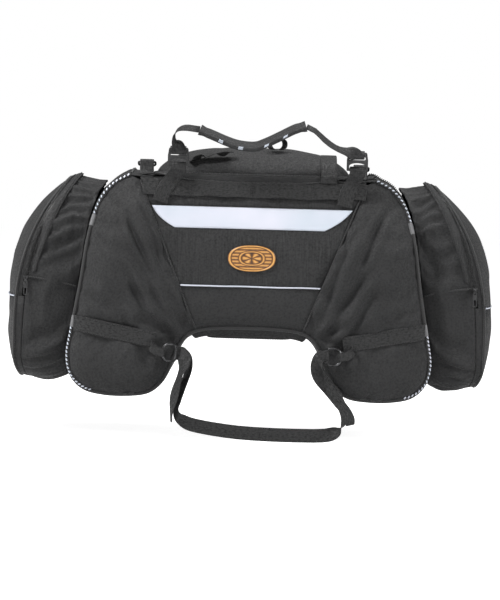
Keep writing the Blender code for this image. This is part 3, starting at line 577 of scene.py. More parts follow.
def pellets(name, places, size, material):
    """Many small rounded bricks in one mesh; each place is (centre, along, out), size their half sizes."""
    corner = np.array([(x, y, z) for x in (-1, 1) for y in (-1, 1) for z in (-1, 1)], float)
    quads = np.array([(0, 1, 3, 2), (4, 6, 7, 5), (0, 4, 5, 1), (2, 3, 7, 6), (0, 2, 6, 4), (1, 5, 7, 3)])
    points, faces = [], []
    for k, (centre, along, out) in enumerate(places):
        along = np.asarray(along) / np.linalg.norm(along)
        out = np.asarray(out) - along * np.dot(out, along)
        out = out / np.linalg.norm(out)
        side = np.cross(along, out)
        shape = corner.copy()
        shape[corner[:, 2] > 0] *= (0.72, 0.72, 1)
        points.append(np.asarray(centre) + shape @ np.array([along * size[0], side * size[1], out * size[2]]))
        faces.append(quads + 8 * k)
    mesh = bpy.data.meshes.new(name)
    mesh.from_pydata(np.vstack(points).tolist(), [], np.vstack(faces).tolist())
    mesh.shade_smooth()
    mesh.set_sharp_from_angle(angle=math.radians(50))
    return add_object(name, mesh, material)


def spaced_along(path, step, out):
    """Places for pellets every `step` along a path; `out` is one direction or one for each point."""
    path = np.asarray(path, float)
    count = max(int(length_of(path) / step), 2)
    both = np.hstack([path, np.broadcast_to(np.asarray(out, float), path.shape)])
    fine = resample(both, count, 3)
    tangent = np.gradient(fine[:, :3], axis=0)
    return [(p[:3], t, p[3:]) for p, t in zip(fine, tangent)]


def stitches(name, path, out, body, slot="webbing", step=0.0038):
    """A line of machine stitches on a surface."""
    made = pellets(name, spaced_along(path, step, out), (0.0013, 0.00035, 0.00035), THREAD)
    return put(made, body, slot)


# ---- cloth simulation -----------------------------------------------------------------------------
def settle(cloths, gravity, growth, cap):
    """Let loose fabric buckle: each cloth is cut `growth` too large and held at some of its points."""
    scene = bpy.context.scene
    scene.gravity = gravity
    rest = {}
    for piece, held in cloths:
        rest[piece.name] = points_of(piece.data)
        group = piece.vertex_groups.new(name="held")
        group.add(np.flatnonzero(held).tolist(), 1.0, "REPLACE")
        cloth = piece.modifiers.new("cloth", "CLOTH")
        cloth.point_cache.frame_end = FRAMES
        cloth.collision_settings.use_collision = False
        cloth.settings.quality = 6
        cloth.settings.mass = 0.2
        cloth.settings.tension_stiffness = cloth.settings.compression_stiffness = 14
        cloth.settings.shear_stiffness = 5
        cloth.settings.bending_stiffness = 0.35
        cloth.settings.air_damping = 3
        cloth.settings.shrink_min = cloth.settings.shrink_max = -growth
        cloth.settings.vertex_group_mass = "held"
    for step in range(1, FRAMES + 1):
        scene.frame_set(step)
    graph = bpy.context.evaluated_depsgraph_get()
    for piece, _ in cloths:
        moved = points_of(piece.evaluated_get(graph).to_mesh()) - rest[piece.name]
        far = np.linalg.norm(moved, axis=1)
        moved *= np.where(far > cap, cap / np.maximum(far, 1e-9), 1)[:, None]
        set_points(piece.data, rest[piece.name] + moved)
        piece.modifiers.remove(piece.modifiers["cloth"])
        piece.vertex_groups.clear()
        piece.data.update()
    scene.frame_set(1)


# ---- camera, light and stage ----------------------------------------------------------------------
def camera():
    """Long lens, level with the bag's middle and slightly above it, turned a little about its own axis."""
    target = Vector((0.0, -0.15, 0.0636))
    distance, elevation, roll = 6.0, math.radians(3.0), math.radians(1.6)
    seen_height = 0.93
    data = bpy.data.cameras.new("camera")
    data.lens = data.sensor_width * distance / seen_height
    made = bpy.data.objects.new("camera", data)
    made.location = target + Vector((0, -math.cos(elevation), math.sin(elevation))) * distance
    turn = (target - made.location).to_track_quat("-Z", "Y")
    made.rotation_euler = (turn.to_matrix() @ Euler((0, 0, roll)).to_matrix()).to_euler()
    bpy.context.scene.collection.objects.link(made)
    bpy.context.scene.camera = made


def area_light(name, place, size, power):
    """Soft box aimed at the bag."""
    data = bpy.data.lights.new(name, "AREA")
    data.size, data.energy = size, power
    made = bpy.data.objects.new(name, data)
    made.location = place
    made.rotation_euler = (Vector((0, 0, 0.08)) - Vector(place)).to_track_quat("-Z", "Y").to_euler()
    bpy.context.scene.collection.objects.link(made)


def studio():
    """Pale floor, white surroundings and soft boxes."""
    scene = bpy.context.scene
    scene.view_settings.view_transform = "Standard"
    for name, place, size, power in (
            ("key", (-1.5, -1.0, 2.3), 0.6, 80), ("fill", (2.5, -1.0, 1.1), 0.7, 42),
            ("left_rim", (-2.6, -0.5, 0.3), 0.6, 18), ("top", (0.3, 0.3, 2.6), 1.0, 34),
            ("front", (0.3, -3.2, 1.2), 1.6, 20)):
        area_light(name, place, size, power)
    world = bpy.data.worlds.new("studio")
    world.use_nodes = True
    tree = world.node_tree
    shade, seen = tree.nodes["Background"], tree.nodes.new("ShaderNodeBackground")
    for ground, strength in ((shade, 0.14), (seen, 1.0)):
        ground.inputs["Color"].default_value = (1, 1, 1, 1)
        ground.inputs["Strength"].default_value = strength
    mix, rays = tree.nodes.new("ShaderNodeMixShader"), tree.nodes.new("ShaderNodeLightPath")
    tree.links.new(rays.outputs["Is Camera Ray"], mix.inputs[0])
    tree.links.new(shade.outputs[0], mix.inputs[1])
    tree.links.new(seen.outputs[0], mix.inputs[2])
    tree.links.new(mix.outputs[0], tree.nodes["World Output"].inputs["Surface"])
    scene.world = world
    floor = grid_object("floor", [[(x, y, FLOOR_Z) for x in (-9, 9)] for y in (-9, 9)], inside=(0, 0, -5))
    paint = Nodes("floor_paint", 0.9)
    paint.shader.inputs["Emission Color"].default_value = (1, 1, 1, 1)
    seen_only = paint.add("ShaderNodeLightPath").outputs["Is Camera Ray"]
    paint.join(paint.times(seen_only, 0.86), paint.shader.inputs["Emission Strength"])
    paint.colour(paint.ramp(paint.noise(3.0), (0.3, grey(0.86, (1, 1, 1))), (0.7, grey(0.88, (1, 1, 1)))))
    floor.data.materials.append(paint.material)


# ---- the strap under the seat ---------------------------------------------------------------------
# Route of the strap, point by point: x, y, z and the direction of its width.
STRAP_LEFT = [
    (-0.1075, -0.1660, -0.0210, 0.00, -0.05, 1.00), (-0.1020, -0.1648, -0.0235, 0.30, -0.10, 0.95),
    (-0.0965, -0.1638, -0.0300, 0.62, -0.30, 0.72), (-0.0930, -0.1640, -0.0400, 0.65, -0.72, 0.22),
    (-0.0930, -0.1650, -0.0500, 0.50, -0.86, 0.00), (-0.0962, -0.1670, -0.0600, 0.50, -0.86, 0.00),
    (-0.1010, -0.1685, -0.0710, 0.60, -0.80, 0.00), (-0.1055, -0.1690, -0.0830, 0.64, -0.77, 0.00),
    (-0.1090, -0.1695, -0.0950, 0.62, -0.78, 0.00), (-0.1103, -0.1700, -0.1070, 0.40, -0.90, 0.10),
    (-0.1072, -0.1700, -0.1172, 0.35, -0.72, 0.55), (-0.0995, -0.1700, -0.1243, 0.22, -0.40, 0.88),
    (-0.0868, -0.1700, -0.1304, 0.10, -0.10, 0.98), (-0.0620, -0.1700, -0.1353, 0.00, 0.00, 1.00),
]
STRAP_CROSS = [
    (-0.0300, -0.1700, -0.1395, 0.0, 0.04, 1.0), (0.0000, -0.1700, -0.1420, 0.0, 0.08, 1.0),
    (0.0400, -0.1700, -0.1433, 0.0, 0.08, 1.0), (0.0775, -0.1700, -0.1435, 0.0, 0.08, 1.0),
    (0.1080, -0.1700, -0.1430, 0.0, 0.10, 1.0), (0.1270, -0.1700, -0.1410, 0.05, 0.20, 0.97),
]
STRAP_RIGHT = [
    (0.1410, -0.1700, -0.1350, 0.25, 0.60, 0.75), (0.1485, -0.1700, -0.1265, 0.42, 0.86, 0.25),
    (0.1508, -0.1700, -0.1173, 0.45, 0.89, 0.00), (0.1500, -0.1700, -0.1060, 0.62, 0.78, -0.10),
    (0.1457, -0.1700, -0.0946, 0.75, 0.52, -0.40), (0.1389, -0.1705, -0.0843, 0.80, 0.25, -0.50),
    (0.1312, -0.1720, -0.0730, 0.80, 0.35, -0.40), (0.1255, -0.1735, -0.0617, 0.60, 0.78, -0.10),
    (0.1205, -0.1755, -0.0490, 0.30, 0.95, 0.10), (0.1150, -0.1775, -0.0385, -0.20, 0.90, 0.35),
    (0.1110, -0.1770, -0.0290, -0.45, 0.60, 0.65), (0.1122, -0.1745, -0.0225, -0.20, 0.20, 0.95),
]
TAIL_LEFT = [
    (-0.1048, -0.1737, -0.0207, 0.00, 0.00, 1.00), (-0.1022, -0.1750, -0.0216, 0.20, 0.00, 0.97),
    (-0.0988, -0.1790, -0.0280, 0.66, 0.05, 0.74), (-0.1000, -0.1800, -0.0380, 0.72, -0.50, 0.35),
    (-0.1038, -0.1782, -0.0500, 0.38, -0.92, 0.00), (-0.1072, -0.1757, -0.0630, 0.40, -0.91, 0.00),
    (-0.1105, -0.1740, -0.0760, 0.55, -0.83, 0.00), (-0.1132, -0.1725, -0.0880, 0.60, -0.80, 0.00),
    (-0.1155, -0.1712, -0.1000, 0.45, -0.89, 0.00), (-0.1167, -0.1703, -0.1100, 0.25, -0.96, 0.00),
    (-0.1170, -0.1700, -0.1190, 0.15, -0.98, 0.00), (-0.1166, -0.1700, -0.1275, 0.12, -0.99, 0.00),
]
TAIL_RIGHT = [
    (0.1154, -0.1665, -0.0209, 0.00, 0.03, 1.00), (0.1110, -0.1655, -0.0225, -0.25, 0.10, 0.95),
    (0.1075, -0.1625, -0.0290, -0.60, 0.20, 0.70), (0.1070, -0.1590, -0.0390, -0.85, 0.15, 0.20),
    (0.1100, -0.1560, -0.0500, -0.90, -0.10, 0.30), (0.1190, -0.1540, -0.0640, -0.82, -0.30, 0.35),
    (0.1310, -0.1535, -0.0790, -0.78, -0.30, 0.45), (0.1430, -0.1530, -0.0930, -0.78, -0.30, 0.45),
    (0.1535, -0.1520, -0.1055, -0.75, -0.40, 0.40), (0.1600, -0.1510, -0.1170, -0.65, -0.60, 0.20),
    (0.1610, -0.1505, -0.1270, -0.60, -0.75, 0.00),
]


def hairpin(bar_x, sign):
    """The strap's turn round a ring's bar."""
    return [(bar_x + sign * HAIRPIN * math.sin(a), SWING_Y - HAIRPIN * math.cos(a), -0.0205, 0, 0, 1)
            for a in np.radians(range(0, 181, 30))]


def strap():
    """The limp strap from ring to ring, with its two tails."""
    for side, tail in (("left", TAIL_LEFT), ("right", TAIL_RIGHT)):
        made = routed(f"strap_tail_{side}_web", spline(tail, 70), STRAP_W, STRAP_T)
        put(made, "under_strap", "webbing", f"strap_tail_{side}")
    left, right = hairpin(RING_BAR_X["left"], -1), hairpin(RING_BAR_X["right"], 1)
    route = np.array([(-0.1108, -0.1735, -0.0206, 0, 0, 1)] + left + STRAP_LEFT + STRAP_CROSS + STRAP_RIGHT
                     + right + [(0.1185, -0.1666, -0.0206, 0, 0, 1)])
    fine = spline(route, 300)
    made = routed("under_seat_strap_web", fine, STRAP_W, STRAP_T)
    put(made, "under_strap", "webbing", "under_seat_strap")


def d_ring(centre, bar_side, flat):
    """Points of a D-ring whose straight bar lies on bar_side; flat for one that lies back along y."""
    points = []
    for angle in np.radians(np.linspace(0, 360, 64, endpoint=False)):
        along, tall = superellipse(angle, RING_LONG, RING_TALL, 6 if math.cos(angle) >= 0 else 2.2)
        along *= bar_side
        if flat:
            drop = 0.35 * (along - bar_side * RING_LONG)
            points.append((centre[0] + tall, centre[1] + along, centre[2] - drop))
        else:
            points.append((centre[0] + along, centre[1], centre[2] + tall))
    return points


def arch_ring(side, sign):
    """A D-ring at the arch, with the tab that ties it to its leg belt."""
    bar = RING_BAR_X[side]
    wire = d_ring((bar + sign * RING_LONG, SWING_Y, SWING_Z), -sign, flat=False)
    made = cord_curve(f"lower_ring_{side}_wire", wire, RING_WIRE, METAL, cyclic=True)
    put(made, "under_strap", "ring_metal", f"lower_ring_{side}")
    crown = bar + sign * 2 * RING_LONG
    belt_x = crown + sign * 0.0175
    back_y = -float(front_depth(np.array([belt_x]), np.array([-0.006]))[0]) - 0.0035
    path = [(belt_x, back_y, -0.0100), (crown + sign * 0.012, back_y - 0.0010, -0.0145),
            (crown + sign * 0.0070, SWING_Y + 0.0032, -0.0185)]
    path += [(crown - sign * HAIRPIN * math.cos(a), SWING_Y + HAIRPIN * math.sin(a), SWING_Z)
             for a in np.radians(range(90, -91, -20))]
    path += [(crown + sign * 0.0085, SWING_Y - 0.0030, -0.0185),
             (crown + sign * 0.016, SWING_Y - 0.0010, -0.0125), (belt_x, back_y - 0.0022, -0.0055)]
    made = ribbon(f"ring_tab_{side}_web", spline(path, 60), (0, 0, 1), 0.0135, 0.0013)
    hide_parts(f"ring_tab_{side}")
    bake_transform(made)


def shoulder_ring(side, sign):
    """A D-ring that lies back on a shoulder, in its folded webbing."""
    x, bar_y, bar_z = sign * SHOULDER_RING_X, SHOULDER_RING_Y, SHOULDER_RING_Z
    wire = d_ring((x, bar_y + RING_LONG, bar_z), -1, flat=True)
    made = cord_curve(f"shoulder_ring_{side}_wire", wire, RING_WIRE, METAL, cyclic=True)
    put(made, f"shoulder_ring_{side}", "ring_metal", f"shoulder_ring_{side}")
    path = [(x - sign * 0.003, -0.1345, 0.2545), (x, -0.1268, 0.2568), (x, -0.1240, 0.2620)]
    path += [(x, bar_y - HAIRPIN * math.cos(a), bar_z + HAIRPIN * math.sin(a))
             for a in np.radians(range(0, 181, 30))]
    path += [(x, -0.1135, 0.2630), (x, -0.1085, 0.2585), (x + sign * 0.002, -0.0950, 0.2575)]
    made = ribbon(f"shoulder_webbing_{side}_web", spline(path, 60), (1, 0, 0), 0.0215, WEB_THICK)
    put(made, "bag", "webbing", f"shoulder_webbing_{side}")


def rings():
    """The four D-rings."""
    for side, sign in SIDES.items():
        arch_ring(side, sign)
        shoulder_ring(side, sign)


# ---- body panels ----------------------------------------------------------------------------------
SEAM_ALONG = np.array([SEAM_FOOT_X - SEAM_TOP[0], SEAM_FOOT_Z - SEAM_TOP[1]])
SEAM_ALONG = SEAM_ALONG / np.linalg.norm(SEAM_ALONG)
SEAM_OUT = np.array([-SEAM_ALONG[1], SEAM_ALONG[0]])
# Creases of a leg panel: distance from the seam at the top, width, depth, start and end along the seam.
CREASES = {
    "left": [(0.020, 0.0050, 0.0030, 0.00, 0.26), (0.041, 0.0060, 0.0048, 0.03, 0.30),
             (0.064, 0.0070, 0.0046, 0.08, 0.30), (0.088, 0.0070, 0.0050, 0.12, 0.32),
             (0.116, 0.0080, 0.0042, 0.16, 0.34), (0.148, 0.0090, 0.0036, 0.20, 0.36)],
    "right": [(0.022, 0.0060, 0.0034, 0.05, 0.27), (0.052, 0.0070, 0.0040, 0.00, 0.15),
              (0.072, 0.0080, 0.0046, 0.10, 0.32), (0.108, 0.0080, 0.0038, 0.13, 0.34),
              (0.140, 0.0100, 0.0036, 0.18, 0.36)],
}


def belt_z(x):
    """Height of a leg belt's centre line."""
    return np.interp(np.abs(x), (0.1425, 0.266), (-0.003, 0.0205))


def leg_relief(x, z, side):
    """How far a leg panel's folds stand proud."""
    u = np.abs(x)
    s = (u - SEAM_TOP[0]) * SEAM_OUT[0] + (z - SEAM_TOP[1]) * SEAM_OUT[1]
    t = (u - SEAM_TOP[0]) * SEAM_ALONG[0] + (z - SEAM_TOP[1]) * SEAM_ALONG[1]
    seed = {"left": 3, "right": 8}[side]
    proud = 0.0042 * ripple(u, z, seed)
    for k, (start, width, depth, first, last) in enumerate(CREASES[side]):
        centre = start * (1 - 1.9 * np.clip(t, 0, 0.3)) + 0.0035 * np.sin(28 * t + 2.1 * k + seed)
        fade = smooth((t - first) / 0.05) * smooth((last - t) / 0.06)
        proud += 1.35 * depth * fade * valley(s, centre, width * (0.6 + 2.0 * np.clip(t, 0, 0.3)))
    corner = np.hypot(u - 0.100, z - 0.010)
    fan = np.arctan2(z - 0.010, u - 0.100)
    proud += 0.0036 * np.sin(fan * 9 + seed) * np.exp(-((corner - 0.045) / 0.03) ** 2)
    proud -= 0.0030 * np.exp(-((z - belt_z(x)) / 0.016) ** 2) * smooth((0.275 - u) / 0.03)
    return proud * smooth(edge_distance(x, z) / SEAM_PULL) - 0.0012 * np.exp(-(s / 0.0028) ** 2)


def leg_grid(sign, rows=74, cols=46):
    """Fine rows across a leg panel, from the slanted seam and inner leg to the outer edge, in x and z."""
    foot = int(np.argmin(np.abs(INNER_LEG[:, 0] - SEAM_FOOT_X)))
    inner = np.vstack([resample([SEAM_TOP, (SEAM_FOOT_X, SEAM_FOOT_Z)], 40), INNER_LEG[foot - 1::-1]])
    inner, outer = resample(inner, rows), resample(edge_between(0, LEG_END), rows)
    t = np.linspace(0, 1, cols)[None, :, None]
    flat = inner[:, None] * (1 - t) + outer[:, None] * t
    return flat * (sign, 1)


def panel_object(name, flat, face, relief, *materials):
    """A front (face -1) or back (face 1) panel over x, z points."""
    x, z = flat[..., 0], flat[..., 1]
    y = face * (front_depth(x, z) + relief)
    return grid_object(name, np.stack([x, y, z], axis=-1), *materials, inside=(0, 0, 0.1))


def near_border(flat):
    """Whether each grid point is on the grid's border."""
    held = np.zeros(flat.shape[:2], bool)
    held[[0, -1]] = held[:, [0, -1]] = True
    return held


def leg_panels():
    """Four leg panels, loosely cut, held at their seams and under the leg belts."""
    made, cloths = [], {-1: [], 1: []}
    for side, sign in SIDES.items():
        for end, face in ENDS.items():
            flat = leg_grid(sign)
            x, z = flat[..., 0], flat[..., 1]
            relief = leg_relief(x, z, side if face < 0 else {"left": "right", "right": "left"}[side])
            piece = panel_object(f"{end}_{side}_panel_cloth", flat, face, relief, BODY, LINING)
            held = near_border(flat) | ((np.abs(z - belt_z(x)) < 0.0135) & (face < 0))
            cloths[face].append((piece, held.ravel()))
            made.append((piece, f"{end}_{side}_panel"))
    for face, group in cloths.items():
        settle(group, (0, face * 2.0, -1.5), 0.030, 0.007)
    for piece, node in made:
        weld(piece)
        put(thicken(piece, PANEL_CLOTH), "bag", "body_fabric", node)


def centre_flat(low, high, rows, cols=90):
    """Grid between the slanted seams from one height to another, in x and z."""
    z = np.linspace(low, high, rows)
    return np.array([[(x, h) for x in np.linspace(-seam_x(h), seam_x(h), cols)] for h in z])


def lower_flat(high, rows, cols=90):
    """Grid from the arch's edge line up to a level line between the seams, in x and z."""
    foot = int(np.argmin(np.abs(INNER_LEG[:, 0] - SEAM_FOOT_X)))
    half = INNER_LEG[foot:]
    arch = resample(np.vstack([half * (-1, 1), half[::-1][1:]]), cols)
    top = resample([(-seam_x(high), high), (seam_x(high), high)], cols)
    return np.array([arch + (top - arch) * t for t in np.linspace(0, 1, rows)])


def seam_dip(flat, low=None, high=None):
    """Fabric drawn in beside the slanted seams and, if given, beside level seams."""
    x, z = flat[..., 0], flat[..., 1]
    dip = -0.0012 * np.exp(-((seam_x(z) - np.abs(x)) / 0.0030) ** 2)
    for level in (low, high):
        if level is not None:
            dip -= 0.0009 * np.exp(-((z - level) / 0.0022) ** 2)
    return dip


def centre_panels():
    """Lower, middle and top front panels, and the centre of the back."""
    flat = lower_flat(LOWER_TOP, 30)
    x, z = flat[..., 0], flat[..., 1]
    relief = seam_dip(flat, high=LOWER_TOP) + 0.0012 * ripple(x, z, 21) * smooth(edge_distance(x, z) / 0.02)
    piece = panel_object("front_lower_panel_cloth", flat, -1, relief, SMOOTH, LINING)
    put(thicken(piece, PANEL_CLOTH), "bag", "body_fabric", "front_lower_panel")
    flat = centre_flat(LOWER_TOP, BAND_FOOT, 46)
    x, z = flat[..., 0], flat[..., 1]
    calm = 1 - 0.85 * np.exp(-((x / 0.05) ** 2 + ((z - BADGE_Z) / 0.03) ** 2))
    relief = seam_dip(flat, LOWER_TOP, BAND_FOOT) + 0.0014 * ripple(x, z, 5, 0.14, 0.05) * calm * (z < 0.17)
    piece = panel_object("front_mid_panel_cloth", flat, -1, relief, RIB, LINING)
    put(thicken(piece, PANEL_CLOTH), "bag", "rib_fabric", "front_mid_panel")
    flat = centre_flat(BAND_FOOT, BODY_TOP, 20)
    x, z = flat[..., 0], flat[..., 1]
    sag = 0.0016 * ripple(x, z, 17, 0.09, 0.03) * np.sin(math.pi * (z - BAND_FOOT) / (BODY_TOP - BAND_FOOT))
    piece = panel_object("front_top_band_cloth", flat, -1, seam_dip(flat, BAND_FOOT) + sag, RIB, LINING)
    put(thicken(piece, PANEL_CLOTH), "bag", "rib_fabric", "front_top_band")
    flat = lower_flat(BODY_TOP, 60)
    x, z = flat[..., 0], flat[..., 1]
    relief = seam_dip(flat) + 0.0022 * ripple(x, z, 33) * smooth(edge_distance(x, z) / 0.02)
    piece = panel_object("back_center_panel_cloth", flat, 1, relief, BODY, LINING)
    settle([(piece, near_border(flat).ravel())], (0, 2.5, -1.0), 0.012, 0.004)
    put(thicken(piece, PANEL_CLOTH), "bag", "body_fabric", "back_center_panel")


def wall_grid(first, last, rows, cols, seed, amount):
    """Grid of the wall that follows the outline between two of its points, with folds across it."""
    curve = spline(OUTLINE, rows, first, last)
    normal = inward(curve)
    along = travelled(curve[:, :2])
    depth = half_depth(curve[:, 1])
    t = np.linspace(-1, 1, cols)
    y = (depth - EDGE_INSET)[:, None] * t
    out = curve[:, 2][:, None] * (1 - (y / depth[:, None]) ** 2)
    out = out + amount * ripple(along[:, None] + 0 * y, y, seed) * (1 - t ** 2)
    x = curve[:, 0][:, None] - normal[:, 0][:, None] * out
    z = curve[:, 1][:, None] - normal[:, 1][:, None] * out
    return np.stack([x, y, z], axis=-1)


def shoulder(side, sign, cols=14):
    """Level fabric between the lid and the top of a leg, with a welt along its outer edge."""
    x = np.linspace(SHOULDER_IN, SHOULDER_OUT, cols)
    edge = front_depth(x, np.full(cols, 0.2465)) - 0.0012
    t = np.linspace(-1, 1, 70)
    s = (x - SHOULDER_IN) / (SHOULDER_OUT - SHOULDER_IN)
    z = 0.2512 + 0.0020 * s[:, None] + 0.0048 * s[:, None] * (1 - t ** 2)
    z = z + 0.0016 * ripple(x[:, None] + 0 * t, edge[:, None] * t, 61 + sign, 0.06, 0.02) * (1 - t ** 2)
    grid = np.stack([sign * x[:, None] + 0 * t, edge[:, None] * t, z], axis=-1)
    sheet(f"shoulder_{side}_cloth", grid, 0.0020, f"shoulder_{side}")
    welt = grid[-1, 3:-3] + (0, 0, 0.0006)
    put(cord_curve(f"shoulder_{side}_welt", welt, 0.0017, ROPE), "bag", "body_fabric")


def walls():
    """Gussets round the legs, the saddle panel through the arch, shoulders, pad and stiffener."""
    for side, first, last, x in (("right", 0, LEG_FOOT, 0.2), ("left", 2 * ARCH - LEG_FOOT, 2 * ARCH, -0.2)):
        grid = wall_grid(first, last, 100, 48, 41 + first, 0.0022)
        sheet(f"gusset_{side}_cloth", grid, WALL_CLOTH, f"gusset_{side}", inside=(x, 0, 0.06))
    grid = wall_grid(LEG_FOOT, 2 * ARCH - LEG_FOOT, 110, 48, 52, 0.0012)
    sheet("saddle_panel_cloth", grid, WALL_CLOTH, "saddle_panel", inside=(0, 0, 0.5))
    for side, sign in SIDES.items():
        shoulder(side, sign)
    pad()
    underlap()
    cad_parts["saddle_board"].data.materials.clear()
    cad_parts["saddle_board"].data.materials.append(DARK_PLASTIC)


def underlap(reach=0.094):
    """Loose hem of the saddle panel that shows below the arch in front and behind."""
    curve = spline(OUTLINE, 400)
    curve = curve[(np.abs(curve[:, 0]) < reach) & (curve[:, 1] > -0.01)]
    curve = curve[np.argsort(curve[:, 0])]
    x = curve[:, 0]
    hang = 0.0135 + 0.0030 * ripple(x, 0 * x, 27, 0.10, 0.03, 6)
    hang = hang * smooth((reach - np.abs(x)) / 0.012)
    for end, face in ENDS.items():
        rows = []
        for t in np.linspace(0, 1, 9):
            y = face * (half_depth(curve[:, 1]) - 0.002 - 0.018 * t ** 1.5)
            rows.append(np.column_stack([x, y + 0.0012 * ripple(x, 0 * x + t * 0.02, 28, 0.05, 0.02) * t,
                                         curve[:, 1] - 0.0012 - hang * t]))
        sheet(f"underlap_{end}_cloth", rows, 0.0012, levels=0)


def pad(steps=96):
    """Grippy seat pad: flat where it rests, soft rounded sides, shaped to the saddle above."""
    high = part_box("seat_pad")[1]
    curve = spline(OUTLINE, 200, LEG_FOOT, 2 * ARCH - LEG_FOOT)
    order = np.argsort(curve[:, 0])
    angles = np.linspace(0, math.tau, steps, endpoint=False)
    rows = []
    for r, lift in ((0.0, 0.0), (0.5, 0.0), (0.9, 0.0), (0.965, 0.0), (0.99, 0.0012), (1.0, 0.0030)):
        x, y = superellipse(angles, high.x * r, high.y * r, PAD_POWER)
        rows.append(np.column_stack([x, y, np.full(steps, lift)]))
    for r in (1.0, 0.985, 0.9, 0.5, 0.0):
        x, y = superellipse(angles, high.x * r, high.y * r, PAD_POWER)
        out = 0.0125 * (1 - (y / HALF_DEPTH) ** 2)
        tops = np.interp(x, curve[order, 0], curve[order, 1]) - out - 0.0009
        rows.append(np.column_stack([x, y, tops - (0.0015 if r == 1.0 else 0)]))
    piece = grid_object("seat_pad_soft", rows, PAD, wrap=True, inside=(0, 0, 0.003))
    weld(piece)
    put(piece, "bag", "seat_pad", "seat_pad")
    x, y = superellipse(np.linspace(0, math.tau, 160), 0.061, 0.093, PAD_POWER)
    line = np.column_stack([x, y, np.full(160, -0.0003)])
    stitches("seat_pad_stitching", line, (0, 0, -1), "bag", "seat_pad")


# ---- piping ---------------------------------------------------------------------------------------
def piping_line(face, count=480):
    """The piping's centre line."""
    curve = spline(OUTLINE, count)
    line = curve[:, :2] + inward(curve) * 0.0002
    return np.column_stack([line[:, 0], face * (half_depth(line[:, 1]) + 0.0016), line[:, 1]])


def reader(line):
    """A function that gives the point of a line at a distance along it."""
    along = travelled(line)
    return lambda s: np.array([np.interp(s, along, line[:, k]) for k in range(3)])


def piping():
    """Cord round the outline, front and back, with reflective flecks and sleeves at the corners in front."""
    for end, face in ENDS.items():
        line = piping_line(face)
        put(cord_curve(f"piping_{end}_cord", line, PIPING_RADIUS, ROPE), "bag", "piping", f"piping_{end}")
        flecks, sleeves = [], []
        for sign in (-1, 1):
            at = reader(line[::sign][:len(line) // 2])
            for start, stop in ((0.004, 0.085), (0.268, 0.380)):
                for s in np.linspace(start, stop, int((stop - start) / 0.0058)):
                    point = at(s)
                    ahead = at(s + 0.001) - point
                    ahead /= np.linalg.norm(ahead)
                    outer = np.array([sign * 0.75 * abs(ahead[2]) + 0.1, face * 1.0, 0.55 * abs(ahead[0])])
                    outer -= ahead * outer.dot(ahead)
                    outer /= np.linalg.norm(outer)
                    flecks.append((point + outer * 0.0033, ahead + 0.5 * np.cross(outer, ahead), outer))
            sleeves += [[at(s) for s in np.linspace(start, start + 0.018, 8)] for start in (0.088, 0.248)]
        put(pellets(f"piping_{end}_flecks", flecks, (0.0022, 0.0012, 0.0005), SILVER), "bag", "reflective")
        for k, part in enumerate(sleeves):
            put(cord_curve(f"piping_{end}_sleeve_{k}", part, 0.0038, SLEEVE), "bag", "piping")


# ---- trim on the front ----------------------------------------------------------------------------
def on_front(x, z, proud):
    """Points that stand `proud` in front of the smooth front surface."""
    x, z = np.broadcast_arrays(np.asarray(x, float), np.asarray(z, float))
    return np.stack([x, -front_depth(x, z) - proud, z], axis=-1)


def belt_points(x, z):
    """Centre line of webbing that lies flat on the front, clear of it over its whole width."""
    reach = WEBBING / 2
    depth = np.max([front_depth(x, z + up) for up in (-reach, 0, reach)], axis=0)
    return np.column_stack([x, -depth - 0.0014, z])


def along_seam(offset, sign):
    """Points in x and z along a slanted front seam, moved outwards by `offset`."""
    t = np.linspace(0, 1, 40)[:, None]
    seam = np.array(SEAM_TOP) * (1 - t) + np.array([SEAM_FOOT_X, SEAM_FOOT_Z]) * t + SEAM_OUT * offset
    return sign * seam[:, 0], seam[:, 1]


def reflective_trim():
    """Reflective band with curled lower corners, and the reflective piping below it."""
    rows = []
    for t in np.linspace(0, 1, 16):
        z = FLAT_BAND_LOW + (FLAT_BAND_HIGH - FLAT_BAND_LOW) * t
        curl = 0.020 * (1 - t) ** 2.4
        left = -0.1555 + 0.0160 * (1 - t) + curl
        right = 0.1550 - 0.0250 * (1 - t) - curl * 0.9
        rows.append(on_front(np.linspace(left, right, 90), z, 0.0009 + 0.0004 * math.sin(math.pi * t)))
    for row in rows[1:-1]:
        row[:, 1] -= 0.0005 * (1 + ripple(row[:, 0], row[:, 2], 44, 0.08, 0.02))
    band = grid_object("reflective_band_cloth", rows, SILVER, SILVER, inside=(0, 0, 0.19))
    put(thicken(band, 0.0010, 0), "bag", "reflective", "reflective_band")
    half = seam_x(LOWER_TOP) - 0.002
    x = np.linspace(-half, half, 90)
    line = on_front(x, LOWER_TOP - 0.0003 + 0.0006 * ripple(x, x * 0, 71, 0.15, 0.05), 0.0012)
    put(cord_curve("reflective_piping_cord", line, 0.0012, SILVER), "bag", "reflective", "reflective_piping")


